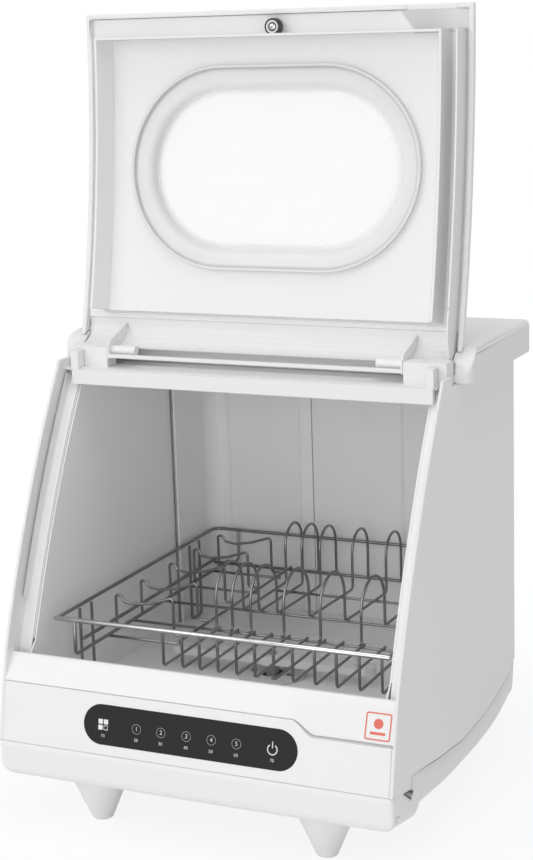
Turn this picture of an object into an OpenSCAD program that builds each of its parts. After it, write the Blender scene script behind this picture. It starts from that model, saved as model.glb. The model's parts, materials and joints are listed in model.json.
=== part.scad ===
// Countertop dishwasher with a curved, upward-opening lid, a wire dish basket and four cone feet.
// The datum inside place() is the front edge of the seam between casing and base pan.
// X is across the front, Y runs to the back, Z is up.

/* [Casing] */
// Width of the casing
body_w = 420; // [400:1:440]
// Depth of the casing from the front seam to its back wall
body_d = 363; // [355:1:380]
// Height of the seam between casing and base pan above the table
seam_h = 88.5; // [84:0.5:100]
// Wall of the outer casing
wall = 3.5; // [2.5:0.1:4.5]
// Height of the casing's side wall under the top cover
side_top = 347.3; // [346.8:0.1:347.4]
// Height of the low front edge where the curve starts
jamb_low_z = 89; // [86:1:92]
// Set-back of the curve's lower end
jamb_low_y = 19; // [17:0.5:21]
// Height of the curve's upper end
jamb_top_z = 357; // [354:1:358]
// Set-back of the curve's upper end
jamb_top_y = 148.7; // [146:0.1:151]
// Bulge of the front curve over its chord
jamb_sag = 8.6; // [6:0.1:10]
// Depth of the white land behind the front curve
land_depth = 24; // [22.5:0.5:26]

/* [Rear housing] */
// Depth from the front seam to the back of the rear housing
rear_d = 450; // [444:1:462]
// Half width of the rear housing
rear_hw = 189; // [188:0.5:195]
// Wall of the rear housing
rear_wall = 2.2; // [1.6:0.1:3]
// Length of the ports behind the rear housing
port_len = 12; // [8:1:20]

/* [Top cover] */
// Overhang of the top cover at each side
cover_over = 14; // [8:1:20]
// Front edge of the top cover
cover_y = 188; // [188:0.5:192]
// Depth of the top cover
cover_d = 192; // [186:1:200]
// Height of the top cover's under side
cover_z = 347.5; // [347.5:0.1:348]
// Thickness of the top cover
cover_h = 32.5; // [31:0.5:34]
// Radius of the top cover's front edge
cover_r = 30; // [26:0.5:31]
// Radius of the top cover's corners, seen from above
cover_corner = 9; // [8:0.5:12]

/* [Lid] */
// Distance of the hinge line behind the front seam
hinge_y = 177.5; // [176.5:0.1:178.5]
// Height of the hinge line above the seam
hinge_z = 366; // [365:0.1:367]
// Opening angle of the lid
lid_open = 162; // [155:1:163]
// Gap between the lid's rim and the casing's curve
lid_gap = 1; // [0.6:0.1:1.5]
// Depth of the lid's outer shell
lid_depth = 9; // [7.5:0.5:11]
// Skin of the lid's outer shell
lid_skin = 2.6; // [2:0.1:3.5]
// Width of the rim round the lid's shell
rim_w = 5; // [4:0.5:6]
// Height of the lid's free edge above the seam when closed
lid_low_z = 66.5; // [64:0.5:69]
// Half width of the deep flange that dips into the tub
flange_hw = 187; // [184:0.5:187.5]
// Depth of the deep flange behind the rim
flange_depth = 25; // [20:0.5:25.5]
// Radius of the hinge pins
pin_r = 4.7; // [4.2:0.1:5]
// Running clearance of the hinge pins
pin_clear = 0.05; // [0.03:0.01:0.1]

/* [Window] */
// Offset of the window to the right of the lid's middle
win_x = 4; // [0:0.5:5]
// Half width of the window
win_hw = 158; // [145:1:160]
// Half height of the window
win_hh = 102; // [85:1:103]
// Height of the raised ring over the lid's inner panel
ring_h = 5; // [3:0.5:8]
// Width of the raised ring
ring_w = 3; // [2:0.5:5]

/* [Front] */
// Set-back of the sill's front edge
sill_y = 28.4; // [27.5:0.1:29]
// Height of the sill
sill_z = 83; // [81.5:0.5:83]
// Height of the bend in the fascia
bend_z = 58.2; // [56:0.1:60]
// Set-back of the bend in the fascia
bend_y = 11.9; // [11:0.1:12.5]
// Height of the finger ledge
ledge_z = 44.5; // [42:0.5:47]
// Start of the finger recess across the front
recess_x = 106; // [90:1:115]
// Width of the S-shaped step into the recess
recess_s = 24; // [16:1:30]
// Half width of the control panel
panel_hw = 114; // [90:1:118]
// Half height of the control panel
panel_hh = 19.7; // [15:0.1:21]
// Height of the control panel's centre on the front face
panel_zc = 29.9; // [28:0.1:31]

/* [Tub] */
// Half width of the tub inside, in front
tub_hw = 190; // [189:0.5:191]
// Half width of the tub inside, at the back
tub_rear_hw = 184.6; // [184.4:0.1:184.8]
// Height of the tub's floor
tub_floor = 15; // [13:0.5:17]
// Height of the tub's ceiling inside
tub_top = 332; // [330:0.5:334]
// Wall of the tub
tub_wall = 1.6; // [1:0.1:1.8]
// Gap between tub back and rear housing
tub_back_gap = 6; // [5:0.5:10]

/* [Basket] */
// Height of the basket's rim
rim_z = 107.5; // [104:0.5:112]
// Half width of the basket's rim
rim_hw = 180; // [176:0.5:180]
// Front bar of the basket
basket_y0 = 72.5; // [70:0.5:76]
// Back bar of the basket
basket_y1 = 433; // [426:0.5:434]
// Height of the basket's floor wires
floor_z = 71; // [68:0.5:74]
// Radius of a floor wire
wire_r = 1.5; // [1.2:0.1:1.8]
// Radius of a rim wire
rim_r = 1.9; // [1.6:0.1:2.2]

/* [Spray arm and sump] */
// Sump centre across the width
sump_x = -14; // [-20:1:-8]
// Sump centre behind the seam
sump_y = 228; // [220:1:236]
// Radius of the sump
sump_r = 34; // [32:1:36]
// Length of the spray arm from its hub
arm_len = 118; // [90:1:125]
// Height of the spray arm's under side
arm_z = 29; // [27:0.5:32]
// Running clearance round shafts
shaft_clear = 0.06; // [0.03:0.01:0.1]

/* [Feet] */
// Distance of the feet from the middle
foot_x = 123; // [110:1:135]
// Place of the front feet behind the seam
foot_y0 = 48; // [44:1:54]
// Place of the rear feet behind the seam
foot_y1 = 270; // [240:1:280]
// Radius at the top of a foot
foot_r = 31; // [26:0.5:34]
// Radius at the tip of a foot
foot_tip = 11.4; // [10:0.1:14]

/* [Hidden] */
$fn = 48;
total_d = rear_d + port_len;
hw = body_w / 2;
in_hw = hw - wall;
fit = 0.3;
mid_y = (jamb_low_y + jamb_top_y) / 2;
mid_z = (jamb_low_z + jamb_top_z) / 2;
chord = norm([jamb_top_y - jamb_low_y, jamb_top_z - jamb_low_z]);
arc_r = chord * chord / (8 * jamb_sag) + jamb_sag / 2;
arc_y = mid_y + (arc_r - jamb_sag) * (jamb_top_z - jamb_low_z) / chord;
arc_z = mid_z - (arc_r - jamb_sag) * (jamb_top_y - jamb_low_y) / chord;
face_k = bend_y / bend_z;
face_tilt = atan(face_k);
rear_hi = side_top - 2;
rear_lo = -10;
tub_back = rear_d - rear_wall - tub_back_gap;
pan_z = -46;
lobe = 1;
pan_wall = 3;
pan_floor = pan_z + pan_wall;
foot_top = -39;
vol_x = 28;
pump_z = -13;

module place() translate([0, -total_d / 2, seam_h]) children();
// Places a side profile (y, z) as a plate from x0 to x1.
module side(x0, x1) translate([x0, 0, 0]) rotate([90, 0, 90]) linear_extrude(x1 - x0) children();
// Turns the lid about its hinge line from closed to open.
module opened()
  translate([0, hinge_y, hinge_z]) rotate([-lid_open, 0, 0])
    translate([0, -hinge_y, -hinge_z]) children();
// Mirrors its children to both sides.
module both() {
  children();
  mirror([1, 0, 0]) children();
}
// Height above the seam to the angle on a circle of radius r about the curve's centre.
function ang(z, r) = 180 - asin((z - arc_z) / r);
// Point at radius r and angle a about the curve's centre.
function pol(r, a) = [arc_y + r * cos(a), arc_z + r * sin(a)];
function arc_pts(r, a0, a1, n) = [for (i = [0:n]) pol(r, a0 + (a1 - a0) * i / n)];
// Sweeps a cross-section (x, radius) about the centre of the front curve from angle a0 to a1.
module swept(a0, a1)
  translate([0, arc_y, arc_z]) rotate([90, 0, 90]) rotate([0, 0, a0])
    rotate_extrude(angle = a1 - a0, $fn = 360) mirror([1, 0]) rotate(90) children();
module wire(a, b, r) {
  v = b - a;
  translate(a) rotate([0, acos(v[2] / norm(v)), atan2(v[1], v[0])]) cylinder(r = r, h = norm(v), $fn = 16);
}
// Bent wire: each straight stretch runs a little past its bends, so the stretches join there.
module wires(p, r)
  for (i = [0:len(p) - 2]) {
    u = (p[i + 1] - p[i]) / norm(p[i + 1] - p[i]);
    wire(p[i] - (i > 0 ? 0.8 * r : 0) * u, p[i + 1] + (i < len(p) - 2 ? 0.8 * r : 0) * u, r);
  }
module stadium(a, b)
  polygon([for (t = [-90:6:90]) [a - b + b * cos(t), b * sin(t)], for (t = [90:6:270]) [b - a + b * cos(t), b * sin(t)]]);
function turn(cx, cy, r, t0) = [for (t = [0:15:90]) [cx + r * cos(t0 + t), cy + r * sin(t0 + t)]];
module rounded(x, y, r)
  polygon(concat(turn(x / 2 - r, y / 2 - r, r, 0), turn(r - x / 2, y / 2 - r, r, 90),
    turn(r - x / 2, r - y / 2, r, 180), turn(x / 2 - r, r - y / 2, r, 270)));

// ---- casing ----
seam_pts = [[0, 0], [47, -9], [48, 4], [123.5, -7.6], [190, -14.6], [249.5, -13.2], [295, -7.6],
  [343, 2.7], [body_d, 16]];
front_pts = concat([[0, 0], [bend_y, bend_z]],
  arc_pts(arc_r, ang(jamb_low_z, arc_r), ang(jamb_top_z, arc_r), 16));
hump_z = jamb_top_z + 1;
module case_profile()
  polygon(concat([for (i = [len(seam_pts) - 1:-1:1]) seam_pts[i]], front_pts,
    [[jamb_top_y + 2, hump_z], [cover_y - 16, hump_z], [cover_y - 16, side_top], [body_d, side_top]]));
module body_shell() color("white") place() {
  both() side(in_hw, hw) case_profile();
  difference() {
    translate([-in_hw, body_d - wall, 16]) cube([2 * in_hw, wall, side_top - 16]);
    translate([-rear_hw, body_d - wall - 1, 10]) cube([2 * rear_hw, wall + 2, rear_hi - 10]);
  }
  translate([-in_hw, cover_y, side_top - wall]) cube([2 * in_hw, body_d - wall - cover_y, wall]);
}
module rear_plan(g)
  difference() {
    translate([0, rear_d - 60 - g]) rounded(2 * (rear_hw - g), 120, 25 - g);
    translate([-rear_hw, rear_d - 130]) square([2 * rear_hw, body_d - rear_d + 130]);
  }
module rear_housing() color("gainsboro") place()
  difference() {
    translate([0, 0, rear_lo]) linear_extrude(rear_hi - rear_lo) rear_plan(0);
    translate([0, 0, rear_lo + rear_wall]) linear_extrude(rear_hi - rear_lo - 2 * rear_wall) rear_plan(rear_wall);
    translate([-rear_hw + rear_wall, body_d - 1, rear_lo + rear_wall])
      cube([2 * (rear_hw - rear_wall), 3, rear_hi - rear_lo - 2 * rear_wall]);
    translate([port_x, rear_d + 1, port_z]) rotate([90, 0, 0]) cylinder(r = port_r + 0.1, h = 6);
    translate([-port_x, rear_d + 1, port_z]) rotate([90, 0, 0]) cylinder(r = spigot_r + 0.1, h = 6);
    translate([0, rear_d + 1, port_z]) rotate([90, 0, 0]) cylinder(r = gland_r + 0.1, h = 6);
    translate([-vent_hw, rear_d - 5, vent_z - vent_hh]) cube([2 * vent_hw, 10, 2 * vent_hh]);
  }
// Inner side of the cover's two ears, and the back of the recess between them for the lid.
ear_x = 203;
cover_back = cover_y + 29;
module cover_side()
  difference() {
    translate([cover_y, cover_z]) square([cover_d, cover_h]);
    difference() {
      translate([cover_y - 1, cover_z + cover_h - cover_r]) square([cover_r + 1, cover_r + 1]);
      translate([cover_y + cover_r, cover_z + cover_h - cover_r]) circle(r = cover_r, $fn = 96);
    }
  }
module top_cover() color("white") place()
  difference() {
    intersection() {
      side(-hw - cover_over, hw + cover_over) cover_side();
      translate([0, cover_y + cover_d / 2, cover_z]) linear_extrude(cover_h) rounded(body_w + 2 * cover_over, cover_d, cover_corner);
      translate([0, cover_y + cover_d, cover_z + cover_h / 2 - 10]) rotate([90, 0, 0])
        linear_extrude(cover_d) rounded(body_w + 2 * cover_over, cover_h + 20, 7);
    }
    translate([-in_hw + 0.5, hinge_y, hinge_z]) rotate([0, 90, 0]) cylinder(r = 16, h = 2 * in_hw - 1);
    translate([-ear_x, cover_y - 1, cover_z - 1]) cube([2 * ear_x, cover_back - cover_y + 1, cover_h + 2]);
    translate([-in_hw, cover_back + 5, cover_z - 1]) cube([2 * in_hw, cover_y + cover_d - cover_back - 11, cover_h - 3]);
  }

// ---- front ----
module face() rotate([-face_tilt, 0, 0]) children();
ledge_y = ledge_z * face_k + 5;
module fascia_profile()
  polygon([[0, 0.3], [bend_y, bend_z], [sill_y, sill_z], [sill_y + 3.6, sill_z], [sill_y + 3.6, sill_z - 11],
    [sill_y + 1.2, sill_z - 11], [ledge_y + 3, ledge_z], [3.2, 0.3]]);
function s_pt(t) = [recess_x + recess_s * t, bend_z + 1 - (bend_z + 1 - ledge_z) * (3 * t * t - 2 * t * t * t)];
module front_fascia() color("white") place()
  difference() {
    side(-in_hw, in_hw) fascia_profile();
    intersection() {
      translate([0, 40, 0]) rotate([90, 0, 0]) linear_extrude(50)
        polygon(concat([for (i = [0:10]) s_pt(i / 10)], [[hw, ledge_z], [hw, sill_z + 9], [recess_x - 30, sill_z + 9]]));
      side(recess_x - 40, hw) polygon([[ledge_y, ledge_z], [sill_y, sill_z], [sill_y, 100], [-20, 100], [-20, ledge_z]]);
    }
    face() translate([0, 1.5, panel_zc]) rotate([90, 0, 0]) linear_extrude(10) stadium(panel_hw + 0.1, panel_hh + 0.1);
  }
module control_panel() color("black") place() face()
  translate([0, 1.5, panel_zc]) rotate([90, 0, 0]) linear_extrude(1.7) stadium(panel_hw, panel_hh);
module control_board() color("darkgreen") place() {
  face() translate([-panel_hw + 10, 8, 14]) cube([2 * panel_hw - 20, 1.6, 30]);
  both() face() translate([panel_hw - 16, 5.6, 16]) cube([6, 2.4, 6]);
}

// ---- base pan and feet ----
function bend(cy, cz, r, a0, a1) = [for (i = [0:6]) [cy + r * cos(a0 + (a1 - a0) * i / 6), cz + r * sin(a0 + (a1 - a0) * i / 6)]];
module pan_profile()
  polygon(concat([[0, -0.3]], bend(13, pan_z + 20, 12, 180, 262), bend(60, pan_z + 9, 10, 280, 340),
    [[72, pan_z + 6.5], [118, pan_z + 3], [150, pan_z], [250, pan_z], [287, pan_z + 3], [317, pan_z + 8],
    [body_d - 18, pan_z + 15.5], [body_d - 6, pan_z + 30], [body_d, 15.5]],
    [for (i = [len(seam_pts) - 2:-1:1]) seam_pts[i] - [0, 0.5]]));
module pan_solid()
  intersection() {
    side(-hw, hw) pan_profile();
    translate([0, 500, 10]) rotate([90, 0, 0]) linear_extrude(600) rounded(body_w, 2 * (10 - pan_z + lobe), 16);
  }
module base_pan() color("whitesmoke") place()
  difference() {
    pan_solid();
    intersection() {
      side(-in_hw, in_hw) pan_cavity();
      translate([0, 500, 10]) rotate([90, 0, 0]) linear_extrude(600)
        rounded(2 * in_hw, 2 * (10 - pan_z + lobe - pan_wall), 14);
    }
    both() along_y(port_x, body_d - 30, 2) cylinder(r = 3.2, h = 40);
    translate([-rear_hw, body_d - 8, tub_floor - tub_wall - fit]) cube([2 * rear_hw, 12, 10]);
  }
module pan_cavity()
  polygon([[4, 30], [4, -24], [12, pan_floor + 9], [50, pan_floor + 8], [80, pan_floor + 6], [104, pan_floor + 6],
    [118, pan_floor + 4], [150, pan_floor], [250, pan_floor], [287, pan_floor + 4], [317, pan_floor + 8.5],
    [body_d - 21, pan_floor + 17], [body_d - 8, -10], [body_d - 6, 14], [body_d - 6, 30]]);
foot_h = seam_h - 15;
pad_r = 6.2;
module foot(y)
  translate([foot_x, y, -seam_h]) rotate_extrude()
    polygon(concat([[0, 1.5], [pad_r, 1.5], [pad_r, 0], [foot_tip - 4, 0]],
      [for (a = [0:15:75]) [foot_tip - 4 + 4 * sin(a), 4 - 4 * cos(a)]],
      [[foot_r, seam_h + foot_top], [foot_r, foot_h], [0, foot_h]]));
module feet() color("white") place()
  difference() {
    both() for (y = [foot_y0, foot_y1]) foot(y);
    pan_solid();
  }
module foot_pads() color("dimgray") place()
  both() for (y = [foot_y0, foot_y1]) translate([foot_x, y, -seam_h]) cylinder(r = pad_r, h = 1.5);

// ---- tub ----
edge_r = arc_r - land_depth - 2;
tub_lip_z = sill_z - 4;
module tub_profile(g)
  polygon(concat([[sill_y + 6.6 + g, tub_lip_z + 2 * g], [48 + g, tub_floor - tub_wall + g], [tub_back - g, tub_floor - tub_wall + g],
    [tub_back - g, tub_top + tub_wall - g]], arc_pts(edge_r - g / 10, ang(tub_top + tub_wall, edge_r), ang(sill_z + 8, edge_r), 12)));
module tub_plan(g)
  difference() {
    union() {
      translate([0, body_d / 2 - 4]) square([2 * (tub_hw + tub_wall - g), body_d - 12], center = true);
      translate([0, tub_back - 60 - g]) rounded(2 * (tub_rear_hw + tub_wall - g), 120, 22 - g);
    }
  }
module tub() color("lightgray") place()
  difference() {
    intersection() {
      side(-hw, hw) tub_profile(0);
      translate([0, 0, -20]) linear_extrude(400) tub_plan(0);
    }
    intersection() {
      side(-hw, hw) polygon([[sill_y + 8.6, tub_lip_z + 1], [49.6, tub_floor], [tub_back - tub_wall, tub_floor],
        [tub_back - tub_wall, tub_top], [0, tub_top], [0, tub_lip_z + 1]]);
      translate([0, 0, -20]) linear_extrude(400) tub_plan(tub_wall);
    }
    translate([sump_x, sump_y, 0]) cylinder(r = sump_r - 3, h = 30);
    translate([float_x, float_y, 0]) cylinder(r = 9, h = 30);
  }
module land_profile(d0, d1, z0, z1)
  polygon(concat(arc_pts(arc_r - d0, ang(z0, arc_r - d0), ang(z1, arc_r - d0), 14),
    arc_pts(arc_r - d1, ang(z1, arc_r - d1), ang(z0, arc_r - d1), 14)));
deck_z = 349;
bar_y = 155.5;
bar_hw = 196.7;
block_x0 = 161.7;
block_x1 = 206;
module tub_frame() color("white") place() {
  both() {
    side(tub_hw + 3, in_hw) land_profile(land_depth, land_depth + 2, sill_z - 12, deck_z - 4);
    side(in_hw - 3.1, in_hw - 2.3) land_profile(land_depth - 10, land_depth + 0.5, 153 - 20, deck_z - 6);
    side(tub_hw + tub_wall + fit, tub_hw + 4) land_profile(land_depth + 1, land_depth + 12, sill_z + 10, deck_z - 8);
    translate([bar_hw - 8, bar_y + 0.5, deck_z - 1]) cube([8.7, 12, 18.5]);
    difference() {
      translate([block_x0, hinge_y - 8.5, deck_z - 1]) cube([block_x1 - block_x0, 18.4, hinge_z + 4.2 - deck_z + 1]);
      translate([block_x0 - 1, hinge_y, hinge_z]) rotate([0, 90, 0]) cylinder(r = pin_r + pin_clear, h = 20);
    }
  }
  translate([-bar_hw, bar_y, tub_top + 0.5]) cube([2 * bar_hw, 5.5, deck_z - tub_top - 1.5]);
  difference() {
    translate([-in_hw, bar_y + 4, deck_z - 3]) cube([2 * in_hw, cover_y - bar_y - 4.5, 3]);
    translate([rib_x - 1, bar_y + 3, deck_z - 4]) cube([4, 9, 5]);
  }
}
module sill_seal() color("dimgray") place()
  translate([-tub_hw, sill_y + 3.6, sill_z - 9]) cube([2 * tub_hw, 3, 5]);

// ---- sump, filter and spray arm ----
module at_sump(z) translate([sump_x, sump_y, z]) children();
module sump() color("dimgray") place()
  difference() {
    at_sump(sump_low) cylinder(r = sump_r, h = tub_floor - tub_wall - sump_low);
    at_sump(sump_low + 2.5) cylinder(r = sump_r - 3, h = 60);
    translate([sump_x, sump_y, pump_z]) rotate([0, 90, 0]) cylinder(r = 7, h = 60);
  }
post_r = 7;
sump_low = -31.5;
module spray_post() color("gray") place() {
  at_sump(sump_low + 2.5) cylinder(r = post_r, h = arm_z - sump_low - 2.5 - fit);
  at_sump(arm_z - fit - 1) cylinder(r = 5, h = 13);
}
module filter_cup() color("silver") place()
  difference() {
    at_sump(-20) cylinder(r = sump_r - 4, h = tub_floor + 20);
    at_sump(-18.5) cylinder(r = sump_r - 5.5, h = 60);
    at_sump(-21) cylinder(r = post_r + 0.4, h = 60);
    for (k = [0:11], z = [-12, -2]) at_sump(z) rotate([0, 0, 30 * k])
      translate([20, 0, 0]) rotate([0, 90, 0]) cylinder(r = 3, h = 20);
  }
module filter_ring() color("lightgray") place() {
  difference() {
    at_sump(tub_floor + fit) cylinder(r = sump_r + 3, h = 2);
    at_sump(tub_floor - 1) cylinder(r = post_r + 6, h = 5);
    for (k = [0:5]) at_sump(tub_floor - 1) rotate([0, 0, 60 * k]) translate([20, 0, 0]) cylinder(r = 4, h = 5);
  }
  difference() {
    at_sump(tub_floor) cylinder(r = sump_r - 4, h = 1);
    at_sump(tub_floor - 1) cylinder(r = sump_r - 5.5, h = 5);
  }
}
module spray_arm() color("lightgray") place()
  difference() {
    union() {
      at_sump(arm_z) linear_extrude(8) stadium(arm_len, 11);
      at_sump(arm_z) cylinder(r = 15, h = 9.5);
    }
    at_sump(arm_z + 1.5) linear_extrude(5) stadium(arm_len - 1.5, 9.5);
    at_sump(arm_z - 1) cylinder(r = 5 + shaft_clear, h = 20);
    for (k = [-4:4]) if (k != 0) at_sump(arm_z + 5) translate([24 * k, (k % 2) * 3, 0]) cylinder(r = 1.6, h = 5);
  }

// ---- pumps and heater ----
module along_x(x, y, z) translate([x, y, z]) rotate([0, 90, 0]) children();
module along_y(x, y, z) translate([x, y, z]) rotate([-90, 0, 0]) children();
module wash_pipe() color("dimgray") place()
  difference() {
    along_x(sump_x + sump_r - 1.2, sump_y, pump_z) cylinder(r = 7, h = vol_x - sump_x - sump_r + 1.2);
    along_x(sump_x, sump_y, pump_z) cylinder(r = 5.5, h = 100);
    at_sump(sump_low - 2) cylinder(r = sump_r - 1.2, h = 60);
  }
module wash_volute() color("dimgray") place()
  difference() {
    along_x(vol_x, sump_y, pump_z) cylinder(r = 21, h = 26);
    along_x(vol_x + 2, sump_y, pump_z) cylinder(r = 19, h = 22);
    along_x(vol_x - 1, sump_y, pump_z) cylinder(r = 5.5, h = 5);
    along_x(vol_x, sump_y, pump_z) cylinder(r = 3, h = 40);
  }
module wash_motor() color("silver") place()
  difference() {
    union() {
      along_x(vol_x + 26, sump_y, pump_z) cylinder(r = 19, h = 55);
      translate([vol_x + 34, sump_y - 14, pan_floor]) cube([36, 16, pump_z - 14 - pan_floor]);
    }
    along_x(vol_x + 25, sump_y, pump_z) cylinder(r = 2.5 + shaft_clear, h = 40);
  }
module wash_impeller() color("white") place() {
  along_x(vol_x + 6, sump_y, pump_z) cylinder(r = 2.5, h = 50);
  along_x(vol_x + 15, sump_y, pump_z) cylinder(r = 16, h = 2);
  for (k = [0:5]) along_x(vol_x + 7, sump_y, pump_z) rotate([0, 0, 60 * k]) translate([2, -1, 0]) cube([13, 2, 9]);
}
drain_x = -95;
module drain_pump() color("dimgray") place()
  difference() {
    union() {
      along_y(drain_x, sump_y - 30, pump_z) cylinder(r = 17, h = 70);
      translate([drain_x - 12, sump_y - 24, pan_floor]) cube([24, 26, pump_z - 14 - pan_floor]);
      along_x(drain_x, sump_y, pump_z) cylinder(r = 7, h = sump_x - sump_r - drain_x);
    }
    along_y(drain_x, sump_y - 10, pump_z) cylinder(r = 15, h = 48);
    along_x(drain_x, sump_y, pump_z) cylinder(r = 5.5, h = 100);
    along_y(drain_x, sump_y - 26, pump_z) cylinder(r = 2 + shaft_clear, h = 40);
    along_y(drain_x, sump_y + 30, pump_z) cylinder(r = 5.5, h = 40);
    at_sump(-35) cylinder(r = sump_r, h = 60);
  }
module drain_rotor() color("white") place() {
  along_y(drain_x, sump_y - 24, pump_z) cylinder(r = 2, h = 50);
  for (k = [0:3]) along_y(drain_x, sump_y + 10, pump_z) rotate([0, 0, 90 * k]) translate([1, -1, 0]) cube([11, 2, 12]);
}
port_x = 120;
port_z = 60;
port_r = 13.2;
spigot_r = 9;
gland_r = 8;
module drain_pipe() color("gray") place() {
  pipe_run(drain_x, sump_y + 40, pump_z, -port_x, 5.5);
}
// Pipe from the pumps back under the tub and up behind it to a port.
module pipe_run(x, y0, z0, x1, r) {
  p = [[x, y0, z0], [x, y0 + 20, z0], [x1, 330, 2], [x1, tub_back + 3.2, 2], [x1, tub_back + 3.2, port_z - spigot_r - 0.2]];
  wires([for (q = p) [q[0], q[1], q[2]]], min(r, 2.7));
}
module port(x, r, bore) {
  difference() {
    union() {
      along_y(x, rear_d - rear_wall - 2, port_z) cylinder(r = r, h = rear_wall + 2 + port_len);
      along_y(x, rear_d, port_z) cylinder(r = r + 4, h = 2.5);
    }
    along_y(x, rear_d - 20, port_z) cylinder(r = bore, h = 60);
  }
}
module drain_spigot() color("dimgray") place() port(-port_x, spigot_r, 6);
module inlet_port() color("gray") place() port(port_x, port_r, 9);
module cord_gland() color("black") place() port(0, gland_r, 3.5);
module inlet_valve() color("royalblue") place() {
  translate([90, 287, -26]) cube([44, 24, 24]);
  translate([98, 287, pan_floor + 4.7]) cube([28, 4, 14]);
}
module inlet_pipe() color("gray") place()
  wires([[112, 311, -12], [112, 317, -12], [port_x, 333, 2], [port_x, tub_back + 3.2, 2], [port_x, tub_back + 3.2, port_z - port_r - 0.2]], 2.7);
module heater() color("silver") place() {
  translate([-heater_hw, 90, tub_floor - tub_wall - 5.4]) cube([2 * heater_hw, 3, 5.4]);
  both() translate([heater_hw - 3, 93, tub_floor - tub_wall - 5.4]) cube([3, 40, 5.4]);
}

heater_hw = 120;

// ---- float, switches, fan ----
float_x = 150;
float_y = 92;
module float_guide() color("gray") place()
  difference() {
    union() {
      translate([float_x, float_y, 0]) cylinder(r = 8.6, h = tub_floor + 8);
      translate([float_x, float_y, tub_floor]) cylinder(r = 13, h = 2);
      translate([float_x, float_y, -2]) cylinder(r = 11, h = tub_floor - tub_wall + 2);
    }
    translate([float_x, float_y, -3]) cylinder(r = 4.1, h = 60);
  }
module float() color("white") place() {
  translate([float_x, float_y, -4]) cylinder(r = 4, h = tub_floor + 14);
  translate([float_x, float_y, tub_floor + 8 + fit]) cylinder(r = 12, h = 8);
}
module float_switch() color("black") place() {
  translate([float_x - 10, float_y - 8, -17]) cube([20, 16, 12.6]);
  translate([float_x - 14, float_y - 8, pan_floor + 6]) cube([4, 16, 26]);
}
module lid_switch() color("black") place()
  translate([-30, sill_y - 6, 40]) cube([22, 9, 16]);
vent_hw = 45;
vent_hh = 30;
vent_z = 270;
fan_r = 26;
module fan_housing() color("dimgray") place()
  difference() {
    translate([-32, tub_back, vent_z - 32]) cube([64, 5, 64]);
    along_y(0, tub_back + 1.5, vent_z) cylinder(r = fan_r + 2, h = 10);
    along_y(0, tub_back + 0.5, vent_z) cylinder(r = 2 + shaft_clear, h = 10);
  }
module fan_rotor() color("black") place() {
  along_y(0, tub_back + 0.7, vent_z) cylinder(r = 2, h = 4);
  along_y(0, tub_back + 1.9, vent_z) cylinder(r = 8, h = 2.8);
  for (k = [0:6]) along_y(0, tub_back + 1.9, vent_z) rotate([0, 0, 360 / 7 * k]) translate([6, -4, 0]) cube([fan_r - 7, 8, 2]);
}
module rear_vent() color("gray") place()
  difference() {
    translate([-vent_hw + 0.1, rear_d - rear_wall, vent_z - vent_hh + 0.1]) cube([2 * vent_hw - 0.2, rear_wall, 2 * vent_hh - 0.2]);
    for (i = [0:8]) translate([-vent_hw + 6, rear_d - 6, vent_z - 24 + 5.6 * i]) cube([2 * vent_hw - 12, 10, 2.6]);
  }
module case_screws() color("silver") place()
  for (x = [-199, 199], z = [60, 300]) along_y(x, body_d, z) cylinder(r = 4, h = 1.8);

// ---- lid (closed pose, then opened) ----
r_in = arc_r + lid_gap;
r_out = r_in + lid_depth;
a_low = ang(lid_low_z, r_in);
a_high = 147.07;
module shell_section()
  polygon(concat([[-hw, r_in], [-hw, r_out - 4]], [for (a = [15:15:75]) [-hw + 4 - 4 * cos(a), r_out - 4 + 4 * sin(a)]],
    [[-hw + 4, r_out], [hw - 4, r_out]], [for (a = [75:-15:15]) [hw - 4 + 4 * cos(a), r_out - 4 + 4 * sin(a)]],
    [[hw, r_out - 4], [hw, r_in]]));
module cover_clear() {
  both() side(ear_x - 1, hw + 20) union() {
    translate([cover_y + cover_r, cover_z + cover_h - cover_r]) circle(r = cover_r + 1, $fn = 96);
    translate([cover_y + cover_r, cover_z]) square([60, cover_h + 1]);
    translate([cover_y - 1, cover_z - 10]) square([60, cover_h - cover_r + 10]);
  }
  side(-ear_x, ear_x) translate([cover_back - 1, cover_z - 10]) square([60, cover_h + 11]);
}
end_a = rim_w / arc_r * 57.3;
module lid_shell() color("white") place()
  difference() {
    opened() difference() {
      swept(a_high, a_low) shell_section();
      swept(a_high + end_a, a_low - end_a) translate([0, r_in - 3]) square([2 * (hw - rim_w), 2 * (lid_depth - lid_skin + 3)], center = true);
      scoop();
      window_cut(win_hw - ring_w, win_hh - ring_w);
    }
    cover_clear();
    side(-in_hw + 1.9, in_hw - 1.9) translate([hinge_y - 30, hinge_z - 30]) square([80, shelf_z + 35.4]);
  }
scoop_x0 = 124;
scoop_x1 = 206;
module scoop()
  swept(a_low - 1.0, a_low + 1)
    polygon([[scoop_x0, r_in - 1], [scoop_x0 + 17, r_in + lid_depth - lid_skin], [scoop_x1 - 15, r_in + lid_depth - lid_skin],
      [scoop_x1, r_in - 1]]);
f_low = ang(lid_low_z + 22.2, arc_r);
f_high = 148.4;
floor_r = r_in + 4.4;
floor_in = arc_r - 3.6;
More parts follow.
